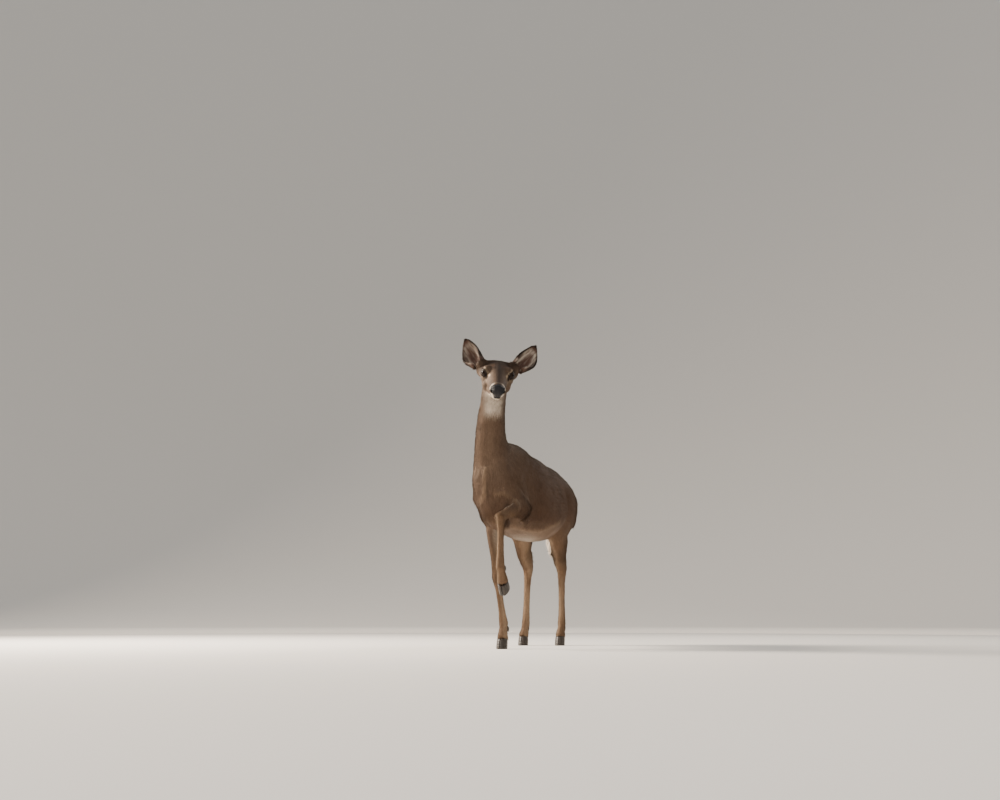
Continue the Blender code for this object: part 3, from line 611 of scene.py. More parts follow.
def leg_colours(points, normals, name):
    """Leg: tan outside, pale inside and in front, darker behind."""
    side = 1 if name.endswith("left") else -1
    inside = rise(-normals[:, 0] * side, -0.1, 0.7)
    colours = evenly(LEG, points)
    low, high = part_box(name)
    if name.startswith(("thigh", "forearm")):
        up = rise(points[:, 2], low.z + 0.05, high.z - 0.02)
        return layered(
            colours,
            (SHOULDER if "fore" in name else FLANK, up),
            (PALE, inside * 0.75),
            (SADDLE, rise(normals[:, 1], 0.2, 0.9) * (1 - inside) * 0.5),
            (WHITE, inside * rise(up, 0.3, 0.9) * 0.4),
        )
    colours = tint(colours, PALE, inside * 0.85)
    if name.startswith("pastern"):
        return tint(colours, PALE, rise(normals[:, 1], 0.0, 0.8) * 0.7)
    if "hind" in name:
        colours = tint(colours, PALE, rise(-normals[:, 1], 0.1, 0.8) * 0.6)
    colours = tint(colours, SADDLE, rise(normals[:, 1], 0.3, 0.9) * 0.35)
    if "hind" in name:
        gland = near(points[:, 2], high.z - 0.01, 0.022) * inside
        colours = tint(colours, RUST, gland * 0.8)
    return colours


def tail_colours(points, normals):
    """Tail: brown above, darker to the tip, white at the edges and below."""
    low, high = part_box("tail")
    outer = rise(np.abs(points[:, 0] - (low.x + high.x) / 2), 0.018, 0.030)
    under = rise(-normals[:, 1], 0.0, 0.5)
    return layered(
        evenly(FLANK, points),
        (CROWN, rise(-points[:, 2], -high.z + 0.08, -low.z)),
        (WHITE, np.maximum(outer, under) * 0.92),
    )


WHOLE_PARTS = {"trunk": body_colours, "neck": neck_colours, "head": head_colours, "tail": tail_colours}


def coat_colours(points, normals, on):
    """The markings of skin and coat alike, blended from node to node, with the folds' painted light over
    them.
    """
    colours = np.zeros((len(points), 3))
    for index, name in enumerate(FLESH):
        here = on[:, index] > 0.002
        if not here.any():
            continue
        spot, facing = points[here], normals[here]
        if name.startswith("ear"):
            own = ear_colours(spot, facing, name.removeprefix("ear_"))
        elif name in WHOLE_PARTS:
            own = WHOLE_PARTS[name](spot, facing)
        else:
            own = leg_colours(spot, facing, name)
        colours[here] += own * on[here, index][:, None]
    colours /= on.sum(axis=1)[:, None]
    # Painted light on the folds: a pale highlight along each raised edge, dark shade in the hollows and
    # creases.
    for amount, _, pale in folds_at(points):
        colours = tint(colours, PALE if pale > 0 else CROWN, amount * abs(pale))
    shade = 1 + 0.10 * mottle(points, 0.035, 1) + 0.07 * mottle(points, 0.012, 2)
    return colours * shade[:, None]


# ---- shaping the skin --------------------------------------------------------------------
LID_WIDE, LID_HIGH = math.radians(56), math.radians(33)    # half the opening, from the eye's middle
NOSTRIL = ((0.0195, 0.006, -0.0035), (0.0235, 0.009, 0.0005), (0.0290, 0.0180, 0.0050))
NOSE_REACH, EYE_REACH = 0.048, 0.034


def eye_axes(side):
    """The way an eye looks, the way to the front corner of its lids, and up."""
    look = (HEAD_TURN @ Vector((SIDES[side] * 0.66, -0.74, 0.12))).normalized()
    front = HEAD_TURN @ Vector((0, -1, -0.25))
    front = (front - look * front.dot(look)).normalized()
    above = HEAD_TURN @ Vector((0, 0, 1))
    above = (above - look * above.dot(look) - front * above.dot(front)).normalized()
    return look, front, above


def opening(turn):
    """Half the angle that the lids leave open, by the turn from their front corner."""
    forth = np.cos(turn)
    corner = math.radians(6) * np.maximum(0, forth) ** 8
    return LID_HIGH + (LID_WIDE - LID_HIGH) * forth ** 2 + corner


def beyond_lids(points, side):
    """How far outside the lids each point lies, its turn round them, and its distance."""
    look, front, above = (np.array(axis) for axis in eye_axes(side))
    from_eye = points - EYE_PLACE[side]
    away = np.linalg.norm(from_eye, axis=1)
    angle = np.arccos(np.clip(unit(from_eye) @ look, -1, 1))
    turn = np.arctan2(from_eye @ above, from_eye @ front)
    return (angle - opening(turn)) * away, turn, away


def sculpt_nose(skin):
    """Nostrils with their wings, the groove below them, and the line of the mouth."""
    normals = skin.normals()
    aside, back, up = in_head(skin.points).T
    across = np.abs(aside)
    folded = np.stack([across, back, up], axis=1)
    muzzle = (back > -0.03) & (back < 0.10) & (across < 0.06) & (np.abs(up) < 0.07)
    from_slit = to_line(folded, np.array(NOSTRIL))
    width = 0.0056 - 0.0030 * rise(back, 0.009, 0.019)
    hole = np.exp(-(from_slit / width) ** 3) * muzzle
    inward = np.tile((-0.45, 0.88, 0.12), (len(aside), 1))
    inward[:, 0] *= np.sign(aside)
    depth = hole * (0.0100 - 0.0045 * rise(back, 0.008, 0.018))
    skin.points += depth[:, None] * (inward @ HEAD_AXES.T)
    wing = np.exp(-((from_slit - 0.0085) / 0.0030) ** 2) * muzzle * (back < 0.030)
    skin.points += (wing * 0.0014)[:, None] * normals
    skin.hole = rise(hole, 0.35, 0.75)
    side_face = muzzle * (back < 0.095) * (across > 0.004)
    line = near(up, mouth_line(back), 0.0016) * side_face * rise(-back, -0.092, -0.075)
    lip = near(up, mouth_line(back) + 0.0050, 0.0035) * side_face * rise(-back, -0.085, -0.05)
    groove = near(aside, 0, 0.0013) * muzzle * (back < 0.014) * rise(-up, -0.004, 0.004)
    skin.points += (0.0010 * lip - 0.0024 * line - 0.0016 * groove)[:, None] * normals


def sculpt_eyes(skin):
    """A seat of skin round each eye, the brow over it and the gland's slit before it."""
    for side, sign in SIDES.items():
        normals = skin.normals()
        centre = EYE_PLACE[side]
        local = (skin.points - centre) @ HEAD_AXES
        outer = (in_head(skin.points)[:, 0] * sign > 0.012) & (np.abs(local[:, 1]) < 0.06)
        gland = near(local[:, 1], -0.030, 0.010) * near(local[:, 2], -0.010, 0.0032) * outer
        brow = near(local[:, 2], 0.0205, 0.0070) * near(local[:, 1], -0.004, 0.020) * outer
        cheek = near(local[:, 2], -0.024, 0.0070) * near(local[:, 1], 0.002, 0.024) * outer
        skin.points += (0.0018 * brow + 0.0010 * cheek - 0.0024 * gland)[:, None] * normals
        beyond, _, away = beyond_lids(skin.points, side)
        seat, inner = EYE_RADIUS + 0.0009, EYE_RADIUS - 0.0030
        wanted = inner + (seat - inner) * rise(beyond, 0.0002, 0.0024)
        fade = rise(-beyond, -0.0125, -0.0035) * rise(-away, -EYE_RADIUS * 2.4, -EYE_RADIUS * 1.7)
        radius = away + (wanted - away) * fade
        skin.points = centre + unit(skin.points - centre) * radius[:, None]


def sculpt_folds(skin):
    """The folds of the hide on breast, belly and flank."""
    for amount, height, _ in folds_at(skin.points):
        skin.points += (amount * height)[:, None] * skin.facing


def sculpt_ears(skin):
    """Long shallow folds in the hollow of each ear."""
    for side, ear in EARS.items():
        share, across, edge = ear.place(skin.points)
        on_ear = skin.belongs_to(f"ear_{side}")
        normals = skin.normals()
        hollow = rise(normals @ ear.facing, 0.0, 0.4) * on_ear * rise(edge, 0.004, 0.010)
        folds = np.cos((across - 0.008) / 0.0075) * rise(share, 0.08, 0.25) * rise(-share, -0.85, -0.60)
        skin.points += (hollow * folds * 0.0009)[:, None] * normals


WITHERS_FRONT, WITHERS_PASSES = -0.30, 24      # where neck and withers are blended, and how often


def doe_skin():
    """The skin, drawn in under the tips of the coat, with the features of the head."""
    places = [(NOSE + HEAD_TURN @ Vector((0, 0.012, -0.006)), NOSE_REACH)]
    places += [(EYE_CENTRE[side], EYE_REACH) for side in SIDES]
    skin = Surface(refined(grown_together(flesh_block()), places))
    skin.on = nearest_nodes(skin.points)
    ears = skin.belongs_to("ear_left", "ear_right")
    head = skin.belongs_to("head")
    skin.relax(6, 1 - 0.8 * ears)
    skin.relax(10, (1 - ears) * (1 - 0.5 * head))
    wide = skin.spread(skin.on, 40)
    skin.on = skin.spread(skin.on, 14)
    neck, trunk = (wide[:, FLESH.index(name)] for name in ("neck", "trunk"))
    withers = 4 * neck * trunk * (skin.points[:, 1] > WITHERS_FRONT)
    for _ in range(WITHERS_PASSES):
        skin.points = skin.points + (skin.spread(skin.points, 1) - skin.points) * withers[:, None]
    depth = skin.on @ np.array([coat_of(name)[4] for name in FLESH])
    bare = nose_leather(skin.points) * rise(-in_head(skin.points)[:, 1], -0.05, -0.02)
    muzzle = rise(-in_head(skin.points)[:, 1], -0.16, -0.05) * rise(head, 0.3, 0.8)
    depth = skin.spread(depth, 6) * (1 - bare) * (1 - 0.5 * muzzle)
    skin.points -= skin.normals() * depth[:, None]
    skin.facing = skin.normals()
    sculpt_folds(skin)
    sculpt_nose(skin)
    sculpt_eyes(skin)
    sculpt_ears(skin)
    skin.facing = unit(skin.spread(skin.normals(), 1))
    skin.store()
    colours = coat_colours(skin.points, skin.facing, skin.on)
    # Painted shade: the nostrils' holes are tinted nearly black.
    skin.colours = tint(colours, (0.002, 0.002, 0.002), skin.hole)
    return skin


# ---- the coat ------------------------------------------------------------------------------
COAT_SEED, FINE_SEED = 7, 11
TUFTS_IN_A_PIECE = 46000
COAT_PIECES = {
    "head": ("head",),
    "ears": ("ear",),
    "neck": ("neck",),
    "tail": ("tail",),
    "trunk": ("trunk",),
    "forelegs": ("forearm", "cannon_fore", "pastern_fore"),
    "hindlegs": ("thigh", "cannon_hind", "pastern_hind"),
}
UV_PATCH = 0.003
LOCK_TURN, TUFT_TURN = math.radians(14), math.radians(8)     # how far locks and single tufts stray
SIZE_SPREAD, WIDTH_SPREAD, LIFT_SPREAD = 0.18, 0.15, 0.35    # of the tufts, as shares


def lie_of_coat(skin):
    """For each vertex of the skin, the way the hair points."""
    flow = Lie().at(skin.points)
    trunk = skin.belongs_to("trunk", "neck")
    flow[:, 2] -= 0.35 * trunk * (1 - skin.facing[:, 2] ** 2)
    for side in SIDES:
        ear, on_ear = EARS[side], skin.belongs_to(f"ear_{side}")
        across = ear.place(skin.points)[1]
        hollow = rise(skin.facing @ ear.facing, 0.0, 0.4)
        fan = ear.along + (across * (9 - 7 * hollow))[:, None] * ear.outward
        flow += (unit(fan) - flow) * rise(on_ear, 0.3, 0.7)[:, None]
        beyond, _, away = beyond_lids(skin.points, side)
        from_eye = unit(skin.points - EYE_PLACE[side])
        flow += from_eye * (near(beyond, 0, 0.009) * (away < 0.03))[:, None] * 1.1
    flow -= skin.facing * np.sum(flow * skin.facing, axis=1)[:, None]
    return unit(skin.spread(unit(flow), 8))


def bare_places(skin):
    """0 where no hair grows: nose, nostrils, lips' edge and the openings of the eyes."""
    at_nose = rise(-in_head(skin.points)[:, 1], -0.05, -0.03)
    grown = 1 - rise(nose_leather(skin.points), 0.2, 0.6) * at_nose
    grown *= 1 - skin.hole
    for side in SIDES:
        beyond, _, away = beyond_lids(skin.points, side)
        grown *= 1 - rise(-beyond, -0.0030, -0.0016) * (away < EYE_RADIUS * 1.6)
    return grown


def charts(points, on):
    """An unwrap of the skin: each node rolled out round its own long axis."""
    owner = np.argmax(on, axis=1)
    flat = np.zeros((len(points), 2))
    for index, name in enumerate(FLESH):
        here = owner == index
        if not here.any():
            continue
        low, high = corners_of(name)
        axis = 1 if name == "trunk" else 2
        side_axis, other = [k for k in (0, 1, 2) if k != axis]
        centre = (low + high) / 2
        spot = points[here]
        turn = np.arctan2(spot[:, other] - centre[other], spot[:, side_axis] - centre[side_axis])
        flat[here, 0] = turn / (2 * np.pi) + 0.5
        flat[here, 1] = (spot[:, axis] - low[axis]) / (high[axis] - low[axis])
    return owner, flat


def paint(mesh, colours):
    # This colour holds the markings and also the painted highlights and shade of the folds and nostrils.
    colour = mesh.color_attributes.new("markings_and_painted_light", "FLOAT_COLOR", "POINT")
    colour.data.foreach_set("color", np.c_[colours, np.ones(len(colours))].astype(np.float32).ravel())


def bare_leather(made, amount):
    """Marks where a piece is bare, wet leather."""
    leather = made.data.attributes.new("leather", "FLOAT", "POINT")
    leather.data.foreach_set("value", amount.astype(np.float32))


def mesh_piece(name, points, triangles, colours, normals, flat):
    """A mesh object from arrays, with its colours, normals and bake map."""
    mesh = bpy.data.meshes.new(name)
    mesh.vertices.add(len(points))
    mesh.vertices.foreach_set("co", points.astype(np.float32).ravel())
    mesh.loops.add(triangles.size)
    mesh.loops.foreach_set("vertex_index", triangles.astype(np.int32).ravel())
    mesh.polygons.add(len(triangles))
    mesh.polygons.foreach_set("loop_start", np.arange(0, triangles.size, 3, dtype=np.int32))
    mesh.update(calc_edges=True)
    mesh.validate()
    paint(mesh, colours)
    chart = mesh.uv_layers.new(name="OFBake")
    chart.data.foreach_set("uv", flat[triangles.ravel()].astype(np.float32).ravel())
    mesh.polygons.foreach_set("use_smooth", np.ones(len(triangles), bool))
    mesh.normals_split_custom_set_from_vertices(normals.astype(np.float32))
    return placed(mesh)


# A tuft: its root, the two sides of its middle, and its tip.
TUFT_FACES = np.array([(0, 1, 2), (3, 2, 1), (0, 3, 1), (0, 2, 3)])
ROOT_DEPTH, TUFT_BELLY = 0.0008, 0.0004          # the root under the skin, the middle over it
BELLY_AT, BELLY_LIFT, TIP_LIFT = 0.40, 0.48, 0.85    # shares of the tuft's length and of its lift
TONE_SPREAD, TIP_TONE, TIP_SPREAD = 0.09, 0.05, 0.12


def tufts(roots, way, up, length, width, lift, colours, spots, dice):
    """Closed tufts on the given roots, as arrays of points, faces, colours, normals, map."""
    count = len(roots)
    aside = np.cross(up, way)
    reach = length[:, None]
    half = width[:, None] / 2
    raised = np.sin(lift)[:, None] * reach
    belly = roots + way * reach * BELLY_AT + up * (raised * BELLY_LIFT + TUFT_BELLY)
    points = np.stack([
        roots - up * ROOT_DEPTH,
        belly - aside * half,
        belly + aside * half,
        roots + way * reach + up * raised * TIP_LIFT,
    ], axis=1)
    soft = up + way * 0.10
    normals = unit(np.stack([soft, soft - aside * 0.25, soft + aside * 0.25, soft], axis=1))
    tone = np.exp(dice.normal(0, TONE_SPREAD, count))[:, None]
    end = np.exp(dice.normal(TIP_TONE, TIP_SPREAD, count))[:, None]
    tones = np.stack([colours * tone * 0.94, colours * tone, colours * tone * 1.02,
                      colours * tone * end], axis=1)
    step = UV_PATCH / 2
    offsets = np.array([(0, -step), (-step, 0), (step, 0), (0, step)])
    flat = spots[:, None, :] + offsets
    faces = (TUFT_FACES[None] + 4 * np.arange(count)[:, None, None]).reshape(-1, 3)
    return (points.reshape(-1, 3), faces, np.clip(tones.reshape(-1, 3), 0, 0.95),
            normals.reshape(-1, 3), flat.reshape(-1, 2))


def sown(skin, wanted, dice):
    """Roots spread evenly over the skin: the triangle of each, and its place in it."""
    corner = skin.points[skin.triangles]
    area = np.linalg.norm(np.cross(corner[:, 1] - corner[:, 0], corner[:, 2] - corner[:, 0]), axis=1) / 2
    share = area * wanted[skin.triangles].mean(axis=1)
    total = np.cumsum(share)
    count = int(total[-1])
    picks = (np.arange(count) + dice.random(count)) * total[-1] / count
    triangle = np.minimum(np.searchsorted(total, picks), len(share) - 1)
    a, b = dice.random(count), dice.random(count)
    over = a + b > 1
    a[over], b[over] = 1 - a[over], 1 - b[over]
    return triangle, np.stack([1 - a - b, a, b], axis=1)


def hair_sizes(skin):
    """For each vertex of the skin: the hair's length, width and lift, and tufts per area."""
    rows = np.array([coat_of(name) for name in FLESH])
    length, width, lift, cover = (skin.on @ rows[:, k] for k in range(4))
    back = in_head(skin.points)[:, 1]
    on_head = rise(skin.belongs_to("head"), 0.4, 0.8)
    short = 1 - on_head * rise(-back, -0.19, -0.05) * 0.55
    length, width = length * short, width * (1 - (1 - short) * 0.5)
    wanted = cover / (length * width * 0.55) * bare_places(skin)
    white_hair = np.zeros(len(length))
    for side, ear in EARS.items():
        share, _, edge = ear.place(skin.points)
        hollow = rise(skin.facing @ ear.facing, 0.1, 0.5) * skin.belongs_to(f"ear_{side}")
        white_hair += hollow * near(edge, 0.0140, 0.0050) * rise(-share, -0.90, -0.70)
    length, lift = length * (1 + 0.9 * white_hair), lift + 5 * white_hair
    pasterns = [name for name in FLESH if name.startswith("pastern")]
    heel = skin.belongs_to(*pasterns) * rise(skin.facing[:, 1], 0.1, 0.7)
    return length * (1 + 0.6 * heel), width, lift, wanted


def grow_coat(skin):
    """All the tufts, in pieces named for the part of the doe that they cover."""
    dice = np.random.default_rng(COAT_SEED)
    length, width, lift, wanted = hair_sizes(skin)
    way = lie_of_coat(skin)
    owner, flat = charts(skin.points, skin.on)

    triangle, share = sown(skin, wanted, dice)
    corners = skin.triangles[triangle]

    def at(values):
        if values.ndim == 1:
            return np.sum(values[corners] * share, axis=1)
        return np.einsum("nkc,nk->nc", values[corners], share)

    roots, up, flow = at(skin.points), unit(at(skin.facing)), unit(at(way))
    locks = 0.45 * mottle(roots, 0.022, 3) + 0.25 * mottle(roots, 0.009, 4)
    turn = LOCK_TURN * locks + dice.normal(0, TUFT_TURN, len(roots))
    flow = unit(flow - up * np.sum(flow * up, axis=1)[:, None])
    flow = flow * np.cos(turn)[:, None] + np.cross(up, flow) * np.sin(turn)[:, None]
    size = np.exp(dice.normal(0, SIZE_SPREAD, len(roots)))
    tilt = np.radians(at(lift)) * np.clip(dice.normal(1, LIFT_SPREAD, len(roots)), 0.2, 2)
    colours = coat_colours(roots, up, at(skin.on))
    root_owner = owner[corners[:, 0]]
    root_flat = flat[corners[:, 0]]
    lengths = at(length) * size
    widths = at(width) * np.exp(dice.normal(0, WIDTH_SPREAD, len(roots)))

    made = []
    for group, prefixes in COAT_PIECES.items():
        members = [i for i, name in enumerate(FLESH) if name.startswith(prefixes)]
        here = np.nonzero(np.isin(root_owner, members))[0]
        here = here[np.argsort(roots[here, 1], kind="stable")]
        parts = max(1, math.ceil(len(here) / TUFTS_IN_A_PIECE))
        for part, chosen in enumerate(np.array_split(here, parts)):
            cell = np.searchsorted(members, root_owner[chosen])
            spots = root_flat[chosen].copy()
            low = spots[:, 1].min()
            spots[:, 1] = (spots[:, 1] - low) / max(1e-6, spots[:, 1].max() - low)
            spots[:, 0] = (cell + 0.02 + 0.96 * spots[:, 0]) / len(members)
            spots[:, 1] = 0.01 + 0.98 * spots[:, 1]
            name = f"coat_{group}" + (f"_{part + 1}" if parts > 1 else "")
            piece = mesh_piece(name, *tufts(
                roots[chosen], flow[chosen], up[chosen], lengths[chosen], widths[chosen],
                tilt[chosen], colours[chosen], spots, dice))
            made.append(piece)
    return made


# ---- materials --------------------------------------------------------------------------------
def new_material(name, roughness, **sockets):
    material = bpy.data.materials.new(name)
    material.use_nodes = True
    shader = material.node_tree.nodes["Principled BSDF"]
    shader.inputs["Roughness"].default_value = roughness
    for socket, value in sockets.items():
        shader.inputs[socket.replace("_", " ")].default_value = value
    return material, material.node_tree, shader


def node(tree, kind, inputs=None, **settings):
    """A node with its settings made, and its inputs set or linked by name or number."""
    made = tree.nodes.new(kind)
    for name, value in settings.items():
        setattr(made, name, value)
    for socket, given in (inputs or {}).items():
        if isinstance(given, bpy.types.NodeSocket):
            tree.links.new(given, made.inputs[socket])
        else:
            made.inputs[socket].default_value = given
    return made


def object_place(tree):
    return node(tree, "ShaderNodeTexCoord").outputs["Object"]


def grain_group():
    """Fine hair grain: a tone that multiplies a colour, and a height for a bump."""
    group = bpy.data.node_groups.new("hair_grain", "ShaderNodeTree")
    sockets = {"Size": "INPUT", "Depth": "INPUT", "Tone": "OUTPUT", "Height": "OUTPUT"}
    for name, direction in sockets.items():
        group.interface.new_socket(name, in_out=direction, socket_type="NodeSocketFloat")
    taken = node(group, "NodeGroupInput").outputs
    fine = node(group, "ShaderNodeTexNoise", {
        "Vector": object_place(group), "Scale": taken["Size"], "Detail": 3}).outputs["Fac"]
    low = node(group, "ShaderNodeMath", {0: 1, 1: taken["Depth"]}, operation="SUBTRACT")
    high = node(group, "ShaderNodeMath", {0: 1, 1: taken["Depth"]}, operation="ADD")
    tone = node(group, "ShaderNodeMapRange", {
        "Value": fine, "From Min": 0.3, "From Max": 0.7, "To Min": low.outputs[0],
        "To Max": high.outputs[0]})
    node(group, "NodeGroupOutput", {"Tone": tone.outputs[0], "Height": fine})
    return group


def painted(tree, shader, group, size, depth, bump):
    """The markings and painted light, with grain over them, into the shader; gives the grain's relief.
    """
    marks = node(tree, "ShaderNodeVertexColor", layer_name="markings_and_painted_light")
    grain = node(tree, "ShaderNodeGroup", node_tree=group)
    grain.inputs["Size"].default_value, grain.inputs["Depth"].default_value = size, depth
    mix = node(tree, "ShaderNodeVectorMath", operation="SCALE")
    tree.links.new(marks.outputs["Color"], mix.inputs[0])
    tree.links.new(grain.outputs["Tone"], mix.inputs["Scale"])
    tree.links.new(mix.outputs[0], shader.inputs["Base Color"])
    relief = node(tree, "ShaderNodeBump", {
        "Strength": bump, "Distance": 0.0015, "Height": grain.outputs["Height"]}).outputs["Normal"]
    tree.links.new(relief, shader.inputs["Normal"])
    return relief


def skin_material(group):
    """Short hair on the skin; the nose pad and lids are bare, pebbled, wet leather."""
    material, tree, shader = new_material("doe_skin", 0.8, Specular_IOR_Level=0.15)
    hair_relief = painted(tree, shader, group, 520, 0.22, 0.5)
    wet = node(tree, "ShaderNodeAttribute", attribute_name="leather").outputs["Fac"]
    gloss = node(tree, "ShaderNodeMapRange", {"To Min": 0.8, "To Max": 0.30, "Value": wet})
    pebbles = node(tree, "ShaderNodeTexVoronoi", {"Scale": 620, "Vector": object_place(tree)})
    raised = node(tree, "ShaderNodeMath", {0: pebbles.outputs["Distance"], 1: wet},
                  operation="MULTIPLY")
    relief = node(tree, "ShaderNodeBump", {
        "Strength": 0.55, "Distance": 0.0008, "Height": raised.outputs[0], "Normal": hair_relief},
        invert=True)
    tree.links.new(gloss.outputs[0], shader.inputs["Roughness"])
    tree.links.new(relief.outputs["Normal"], shader.inputs["Normal"])
    return material


def coat_material(group):
    material, tree, shader = new_material("doe_coat", 0.65, Specular_IOR_Level=0.12)
    painted(tree, shader, group, 900, 0.18, 0.0)
    return material


def wet_eye_material():
    """Nearly black brown with a wet surface; the colour comes from the markings."""
    material, tree, shader = new_material("wet_eye", 0.04, IOR=1.376, Specular_IOR_Level=0.2)
    marks = node(tree, "ShaderNodeVertexColor", layer_name="markings_and_painted_light")
    tree.links.new(marks.outputs["Color"], shader.inputs["Base Color"])
    return material


HORN_DARK, HORN_PALE = (0.016, 0.013, 0.011, 1), (0.060, 0.046, 0.036, 1)


def horn_material():
    """Black horn with fine upright streaks."""
    material, tree, shader = new_material("hoof_horn", 0.42, Specular_IOR_Level=0.4)
    turn = node(tree, "ShaderNodeMapping", {"Vector": object_place(tree), "Scale": (1, 1, 0.12)})
    streak = node(tree, "ShaderNodeTexNoise", {
        "Vector": turn.outputs["Vector"], "Scale": 700, "Detail": 4}).outputs["Fac"]
    ramp = node(tree, "ShaderNodeValToRGB", {"Fac": streak})
    dark, pale = ramp.color_ramp.elements
    dark.position, dark.color = 0.35, HORN_DARK
    pale.position, pale.color = 0.75, HORN_PALE
    relief = node(tree, "ShaderNodeBump", {"Strength": 0.35, "Distance": 0.001, "Height": streak})
    tree.links.new(ramp.outputs["Color"], shader.inputs["Base Color"])
    tree.links.new(relief.outputs["Normal"], shader.inputs["Normal"])
    return material


# ---- eyes and lids ---------------------------------------------------------------------------
def settled(made, material):
    """Puts a piece's place into its mesh, shades it smooth and gives it its material."""
    bpy.ops.object.select_all(action="DESELECT")
    bpy.context.view_layer.objects.active = made
    made.select_set(True)
    bpy.ops.object.transform_apply(location=True, rotation=True, scale=True)
    bpy.ops.object.shade_smooth()
    made.select_set(False)
    made.data.materials.clear()
    made.data.materials.append(material)
    return made


CORNEA, CORNEA_RISE = math.radians(40), 0.030     # its reach from the middle, its height in radii
PUPIL_LONG, PUPIL_HIGH = 0.0052, 0.0032           # half sizes
PUPIL_TONE, IRIS_TONE = (0.0012, 0.0010, 0.0010), (0.0100, 0.0040, 0.0020)
BALL_TONE = (0.0040, 0.0022, 0.0016)


def eyeball(side, material):
    """A ball with a raised cornea, a dark iris and an oval pupil that lies level."""
    centre, look = EYE_CENTRE[side], eye_axes(side)[0]
    bpy.ops.object.select_all(action="DESELECT")
    bpy.ops.mesh.primitive_uv_sphere_add(segments=56, ring_count=36, radius=EYE_RADIUS)
    ball = bpy.context.object
    ball.name = ball.data.name = f"eye_{side}_wet"
    for vertex in ball.data.vertices:
        angle = vertex.co.angle(Vector((0, 0, 1)))
        if angle < CORNEA:
            vertex.co *= 1 + CORNEA_RISE * (1 - (angle / CORNEA) ** 2)
    ball.rotation_mode = "QUATERNION"
    ball.rotation_quaternion = look.to_track_quat("Z", "Y")
    ball.location = centre
    settled(ball, material)
    level = look.cross(Vector((0, 0, 1))).normalized()
    above = level.cross(look)
    tones = []
    for vertex in ball.data.vertices:
        out = vertex.co - centre
        flat = Vector((out.dot(level), out.dot(above)))
        in_pupil = math.hypot(flat.x / PUPIL_LONG, flat.y / PUPIL_HIGH) < 1
        in_iris = out.normalized().dot(look) > math.cos(CORNEA)
        tones.append(PUPIL_TONE if in_pupil else IRIS_TONE if in_iris else BALL_TONE)
    paint(ball.data, np.array(tones))
    return ball


# Across a lid's edge: the angle beyond the opening, and the distance from the eye's middle in radii.
LID_PROFILE = ((-0.030, 0.990), (-0.030, 1.030), (0.010, 1.058), (0.080, 1.072), (0.170, 1.068),
               (0.270, 1.030), (0.200, 0.960), (0.030, 0.955))
LID_STEPS = 72


def lids(side, material):
    """The margins of both lids, round an opening like an almond, as one rolled edge."""
    centre = EYE_CENTRE[side]
    look, front, above = eye_axes(side)
    body = bmesh.new()
    rings = []
    for k in range(LID_STEPS):
        turn = 2 * math.pi * k / LID_STEPS
        half = float(opening(turn))
        ray = front * math.cos(turn) + above * math.sin(turn)
        ring = []
        for beyond, reach in LID_PROFILE:
            way = look * math.cos(half + beyond) + ray * math.sin(half + beyond)
            ring.append(body.verts.new(centre + way * EYE_RADIUS * reach))
        rings.append(ring)
    for k in range(LID_STEPS):
        for j in range(len(LID_PROFILE)):
            after = (j + 1) % len(LID_PROFILE)
            body.faces.new((rings[k - 1][j], rings[k][j], rings[k][after], rings[k - 1][after]))
    bmesh.ops.recalc_face_normals(body, faces=body.faces)
    made = built(body, f"lids_{side}")
    round_off = made.modifiers.new("Subdivision", "SUBSURF")
    round_off.levels = round_off.render_levels = 1
    apply_modifiers(made)
    settled(made, material)
    surface = Surface(made)
    on = np.zeros((len(surface.points), len(FLESH)))
    on[:, FLESH.index("head")] = 1
    paint(made.data, coat_colours(surface.points, surface.normals(), on))
    beyond = beyond_lids(surface.points, side)[0]
    bare_leather(made, rise(-beyond, -0.0022, -0.0010))
    return made


LASHES = 26
LASH_LENGTH, LOWER_LASH_LENGTH, LASH_WIDTH, LASH_LIFT = 0.0090, 0.0032, 0.0004, 0.20
UPPER_ARC, LOWER_ARC = (18, 162), (205, 335)     # degrees round the lids, from their front corner


def lashes(side, dice):
    """Long dark lashes along the upper lid, and shorter ones along the lower."""
    look, front, above = (np.array(axis) for axis in eye_axes(side))
    upper = np.linspace(*map(math.radians, UPPER_ARC), LASHES)
    lower = np.linspace(*map(math.radians, LOWER_ARC), LASHES // 2)
    turn = np.concatenate([upper, lower])
    half = opening(turn) + 0.045
    ray = front * np.cos(turn)[:, None] + above * np.sin(turn)[:, None]
    out = look * np.cos(half)[:, None] + ray * np.sin(half)[:, None]
    roots = EYE_PLACE[side] + out * EYE_RADIUS * 1.055
    way = unit(out * 0.75 + ray * 0.75 - above * 0.20 + dice.normal(0, 0.08, (len(turn), 3)))
    up = unit(np.cross(way, np.cross(out, way)))
    full = np.where(np.sin(turn) > 0, LASH_LENGTH, LOWER_LASH_LENGTH)
    length = full * (0.60 + 0.40 * np.abs(np.sin(turn)))
    spots = np.stack([0.05 + 0.9 * np.arange(len(turn)) / len(turn), np.full(len(turn), 0.5)], axis=1)
    return mesh_piece(f"lashes_{side}", *tufts(
        roots, way, up, length, np.full(len(turn), LASH_WIDTH), np.full(len(turn), LASH_LIFT),
        np.tile(DARK, (len(turn), 1)), spots, dice))


WHISKERS = 34
WHISKER_LENGTHS, WHISKER_WIDTH, WHISKER_LIFT = (0.011, 0.020), 0.0003, 0.05


